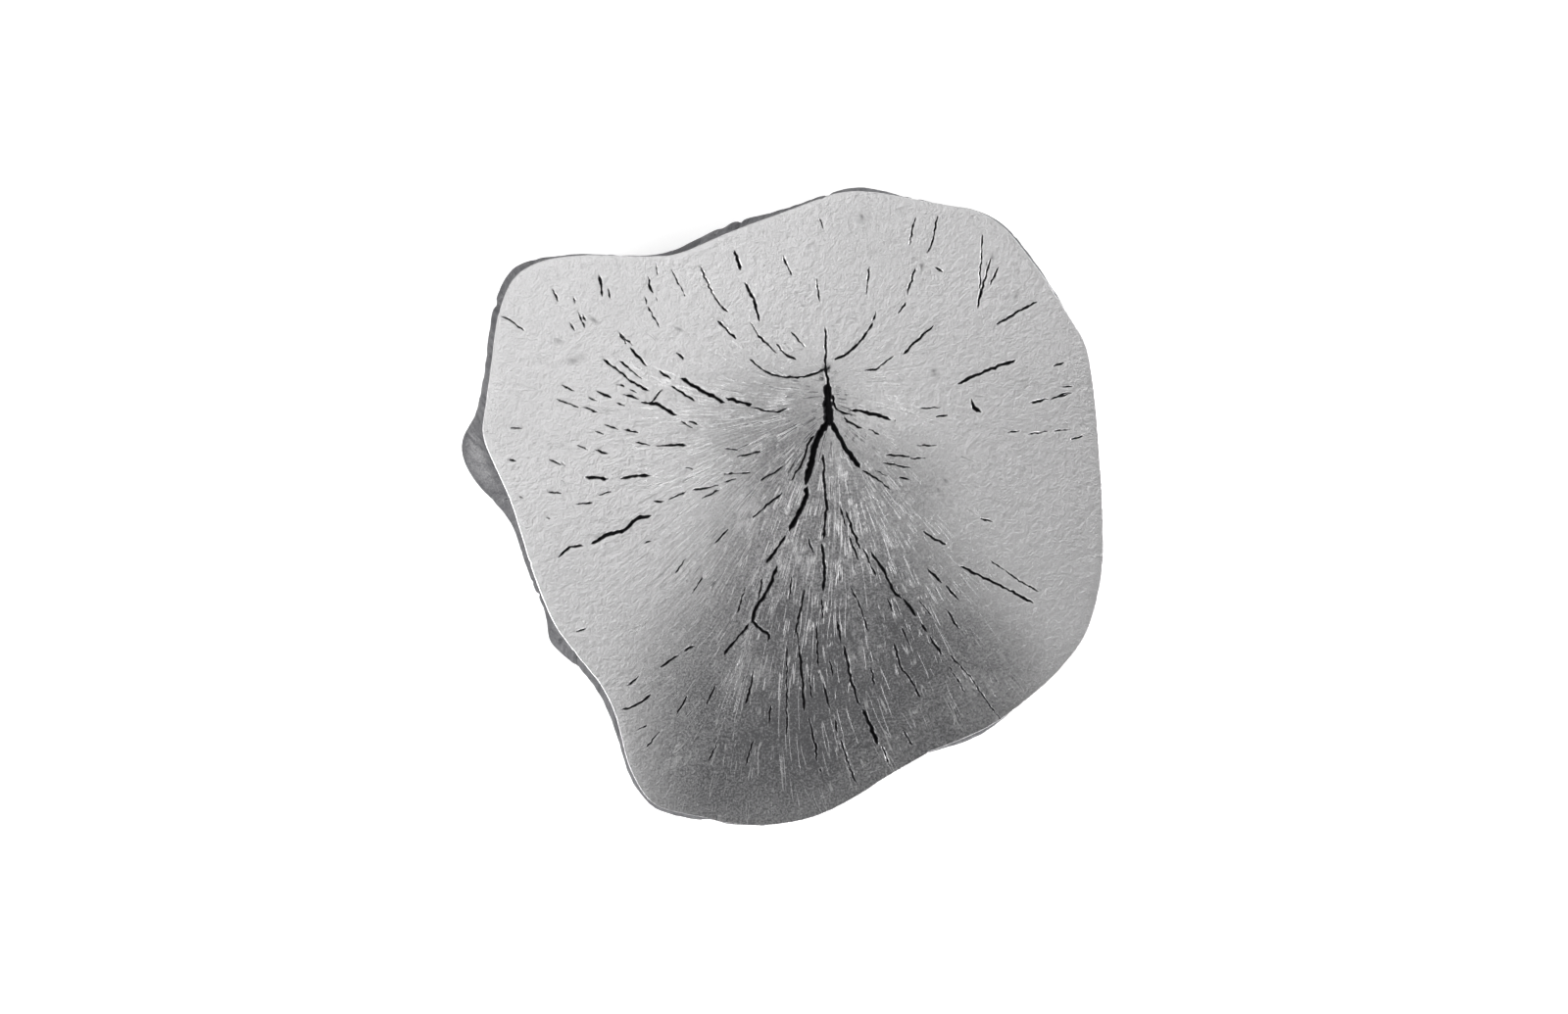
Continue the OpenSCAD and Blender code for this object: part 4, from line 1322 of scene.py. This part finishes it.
@dataclass
class LevellingStud:
    """A zinc stud: the disc held in the foot, a neck, a hexagon and a cut thread."""

    number: int
    disc: tuple[float, float] = (6.0, 2.6)       # radius and height
    neck: tuple[float, float] = (3.3, 4.0)
    hexagon: tuple[float, float] = (7.5, 6.0)
    hexagon_rise: float = 5.8                    # from the disc's underside
    thread_radius: float = 3.97
    thread_root: float = 3.3
    pitch: float = 1.25
    steps: int = 20                              # flats in one turn of the thread
    taper: float = 1.2                           # height of the tapered tip
    chamfer: float = 0.8                         # how far it narrows in a millimetre

    def build(self, material: bpy.types.Material) -> bpy.types.Object:
        """Builds the stud.

        Args:
            material: the zinc.

        Returns:
            The piece that stands for this levelling stud.
        """
        node = f"levelling_stud_{self.number}"
        low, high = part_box(node)
        bm = bmesh.new()
        bottom = low.z / MM
        self._drum(bm, self.disc[0], bottom, self.disc[1], 48, 0.35)
        self._drum(bm, self.neck[0], bottom + self.disc[1] - 0.2, self.neck[1], 32, 0.1)
        self._drum(bm, self.hexagon[0], bottom + self.hexagon_rise, self.hexagon[1], 6, 0.45)
        self._thread(bm, bottom + self.hexagon_rise + self.hexagon[1] - 0.3, high.z / MM)
        bmesh.ops.recalc_face_normals(bm, faces=bm.faces)
        centre = (low + high) / 2
        bmesh.ops.scale(bm, verts=bm.verts, vec=(MM, MM, MM))
        bmesh.ops.translate(bm, verts=bm.verts, vec=(centre.x, centre.y, 0.0))
        body = f"{Body.STUD.value}_{self.number}"
        return finish_piece(f"{node}_threaded", bm, material, [node], body)

    @staticmethod
    def _drum(
        bm: bmesh.types.BMesh, radius: float, low: float, height: float, sides: int, edge: float
    ) -> None:
        """Adds an upright drum or prism with softened edges."""
        made = bmesh.ops.create_cone(
            bm, cap_ends=True, segments=sides, radius1=radius, radius2=radius, depth=height
        )["verts"]
        bmesh.ops.translate(bm, verts=made, vec=(0.0, 0.0, low + height / 2))
        edges = list({e for v in made for e in v.link_edges})
        sharp = [e for e in edges if len(e.link_faces) == 2 and e.calc_face_angle() > 0.6]
        bmesh.ops.bevel(
            bm, geom=sharp, offset=edge, segments=2, profile=0.5, affect="EDGES", material=-1
        )

    def _thread(self, bm: bmesh.types.BMesh, low: float, high: float) -> None:
        """Adds the thread between two heights."""
        turns = int((high - low) / self.pitch) + 3
        start = low - 1.5 * self.pitch
        places = ((self.thread_root, 0.0), (self.thread_radius, 0.5), (self.thread_root, 1.0))
        posts = [bm.verts.new((r, 0.0, start + share * self.pitch)) for r, share in places]
        edges = [bm.edges.new(pair) for pair in zip(posts, posts[1:])]
        count = turns * self.steps
        bmesh.ops.spin(
            bm, geom=posts + edges, cent=(0, 0, 0), axis=(0, 0, 1), angle=turns * math.tau,
            dvec=(0.0, 0.0, self.pitch / self.steps), steps=count,
        )
        bmesh.ops.remove_doubles(bm, verts=bm.verts, dist=1e-4)
        for level, side in ((low, -1.0), (high, 1.0)):
            strip = [f for f in bm.faces if self._threaded(f)]
            geom = list({item for f in strip for item in (f, *f.edges, *f.verts)})
            cut = bmesh.ops.bisect_plane(
                bm, geom=geom, plane_co=(0, 0, level), plane_no=(0, 0, side), clear_outer=True
            )["geom_cut"]
            rim = [item for item in cut if isinstance(item, bmesh.types.BMEdge)]
            bmesh.ops.holes_fill(bm, edges=rim, sides=0)
        for vert in bm.verts:
            over = vert.co.z - (high - self.taper)
            reach = vert.co.xy.length
            most = self.thread_radius - max(over, 0.0) * self.chamfer
            if over > 0 and reach > most:
                vert.co.xy = vert.co.xy * (most / reach)

    def _threaded(self, face: bmesh.types.BMFace) -> bool:
        """Whether a face is part of the thread, by how far its points lie from the axis."""
        reaches = [vert.co.xy.length for vert in face.verts]
        near, far = min(reaches), max(reaches)
        inside = self.thread_root - 0.02 < near and far < self.thread_radius + 0.02
        return inside and far - near > 0.05


@dataclass
class Fittings:
    """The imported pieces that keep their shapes, by finish, and the studs."""

    levellers: int = 4
    finishes: tuple[tuple[Slot, Any, tuple[str, ...]], ...] = (
        (Slot.PLYWOOD, Timber("plywood", (0.66, 0.50, 0.32), (0.44, 0.30, 0.17), 0.0026),
         ("seat_board", "base_board")),
        (Slot.SOFTWOOD, Timber("softwood", (0.76, 0.60, 0.39), (0.55, 0.37, 0.19)), ("cleat_",)),
        (Slot.ZINC_STEEL, ZincSteel(),
         ("seat_screws", "cleat_screws", "insert_", "levelling_stud_")),
        (Slot.NYLON, Nylon(), ("foot_",)),
        (Slot.FELT, Felt(), ("sole_",)),
    )

    def dress(self) -> None:
        """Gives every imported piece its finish, and builds the studs."""
        for slot, finish, starts in self.finishes:
            material = finish.make()
            if slot is Slot.ZINC_STEEL:
                for number in range(1, self.levellers + 1):
                    LevellingStud(number).build(material)
            for name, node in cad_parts.items():
                if name.startswith(starts):
                    node.data.materials.clear()
                    node.data.materials.append(material)
                    LOG.info("%s: %s", name, slot.value)


# ----------------------------------------------------------------------- studio


@dataclass
class Studio:
    """Pale floor, soft lights, and the camera straight above the cap."""

    height: float = 2.4            # metres from the cap's top to the camera
    span: float = 0.984            # metres across the view at the cap's top
    centre: tuple[float, float] = (0.0014, -0.0007)
    floor_glow: float = 0.34       # lifts the floor's shadows to white
    # name, place in metres, sides in metres, radiance
    panels: tuple[tuple[str, tuple[float, float, float], tuple[float, float], float], ...] = (
        ("over_back", (-0.55, 1.30, 3.95), (2.6, 1.5), 1.66),
        ("over_left", (-1.35, 0.05, 3.95), (1.5, 2.3), 1.52),
        ("over_right", (1.55, 0.20, 3.95), (1.4, 2.2), 0.32),
        ("side_left", (-2.9, -1.2, 1.5), (2.2, 2.2), 6.2),
        ("side_right", (3.0, 0.3, 1.5), (2.2, 2.2), 5.4),
        ("side_front", (1.0, -3.0, 1.4), (2.2, 2.2), 5.6),
        ("side_back", (0.6, 3.2, 1.5), (2.6, 1.6), 1.4),
    )

    def build(self) -> None:
        """Makes the whole studio."""
        self._camera()
        self._floor()
        self._world()
        for panel in self.panels:
            self._panel(*panel)

    def _camera(self) -> None:
        """Puts the camera over the cap, with +Y up in its view."""
        camera = bpy.data.objects.new("camera", bpy.data.cameras.new("camera"))
        bpy.context.scene.collection.objects.link(camera)
        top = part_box("top_cap")[1].z
        camera.location = (*self.centre, top + self.height)
        camera.rotation_euler = (0.0, 0.0, 0.0)
        camera.data.sensor_width = 36.0
        camera.data.lens = 36.0 * self.height / self.span
        camera.data.clip_end = 50.0
        bpy.context.scene.camera = camera

    def _floor(self) -> None:
        """A wide pale floor."""
        bm = bmesh.new()
        bmesh.ops.create_grid(bm, x_segments=8, y_segments=8, size=9.0)
        mesh = bpy.data.meshes.new("floor")
        bm.to_mesh(mesh)
        bm.free()
        g = Graph("floor")
        g.surface(
            Base_Color=(0.97, 0.97, 0.97, 1.0),
            Roughness=0.9,
            Emission_Color=(1.0, 1.0, 1.0, 1.0),
            Emission_Strength=self.floor_glow,
        )
        mesh.materials.append(g.material)
        floor = bpy.data.objects.new("floor", mesh)
        bpy.context.scene.collection.objects.link(floor)

    def _world(self) -> None:
        """An even soft light from all round."""
        world = bpy.data.worlds.new("studio")
        world.use_nodes = True
        back = world.node_tree.nodes["Background"]
        links, nodes = world.node_tree.links, world.node_tree.nodes
        way = nodes.new("ShaderNodeTexCoord")
        split = nodes.new("ShaderNodeSeparateXYZ")
        links.new(way.outputs["Generated"], split.inputs[0])
        glow = nodes.new("ShaderNodeMapRange")
        glow.interpolation_type = "SMOOTHSTEP"
        limits = {"From Min": 0.30, "From Max": 0.70, "To Min": 0.75, "To Max": 0.04}
        for name, value in limits.items():
            glow.inputs[name].default_value = value
        links.new(split.outputs["Z"], glow.inputs["Value"])
        links.new(glow.outputs[0], back.inputs["Strength"])
        back.inputs["Color"].default_value = (1.0, 1.0, 1.0, 1.0)
        bpy.context.scene.world = world

    def _panel(
        self,
        name: str,
        place: tuple[float, float, float],
        sides: tuple[float, float],
        radiance: float,
    ) -> None:
        """A soft light that faces the stool.

        Args:
            name: its name.
            place: where it is, in metres.
            sides: its width and depth in metres.
            radiance: how bright its face is.
        """
        data = bpy.data.lights.new(name, "AREA")
        data.shape = "RECTANGLE"
        data.size, data.size_y = sides
        data.energy = radiance * math.pi * sides[0] * sides[1]
        panel = bpy.data.objects.new(name, data)
        panel.location = place
        aim = Vector((0.0, 0.0, 0.35)) - Vector(place)
        if place[2] > 3.0:
            aim = Vector((0.0, 0.0, -1.0))
        panel.rotation_euler = aim.to_track_quat("-Z", "Y").to_euler()
        bpy.context.scene.collection.objects.link(panel)


def main() -> None:
    """Builds the stool's looks and the studio, in order."""
    logging.basicConfig(level=logging.INFO, format="%(message)s")
    bpy.context.scene.view_settings.view_transform = "Standard"
    leaf = SilverLeaf().make()
    TrunkWall().build(leaf)
    Cap().build(leaf)
    Fittings().dress()
    Studio().build()


if __name__ == "__main__":
    main()
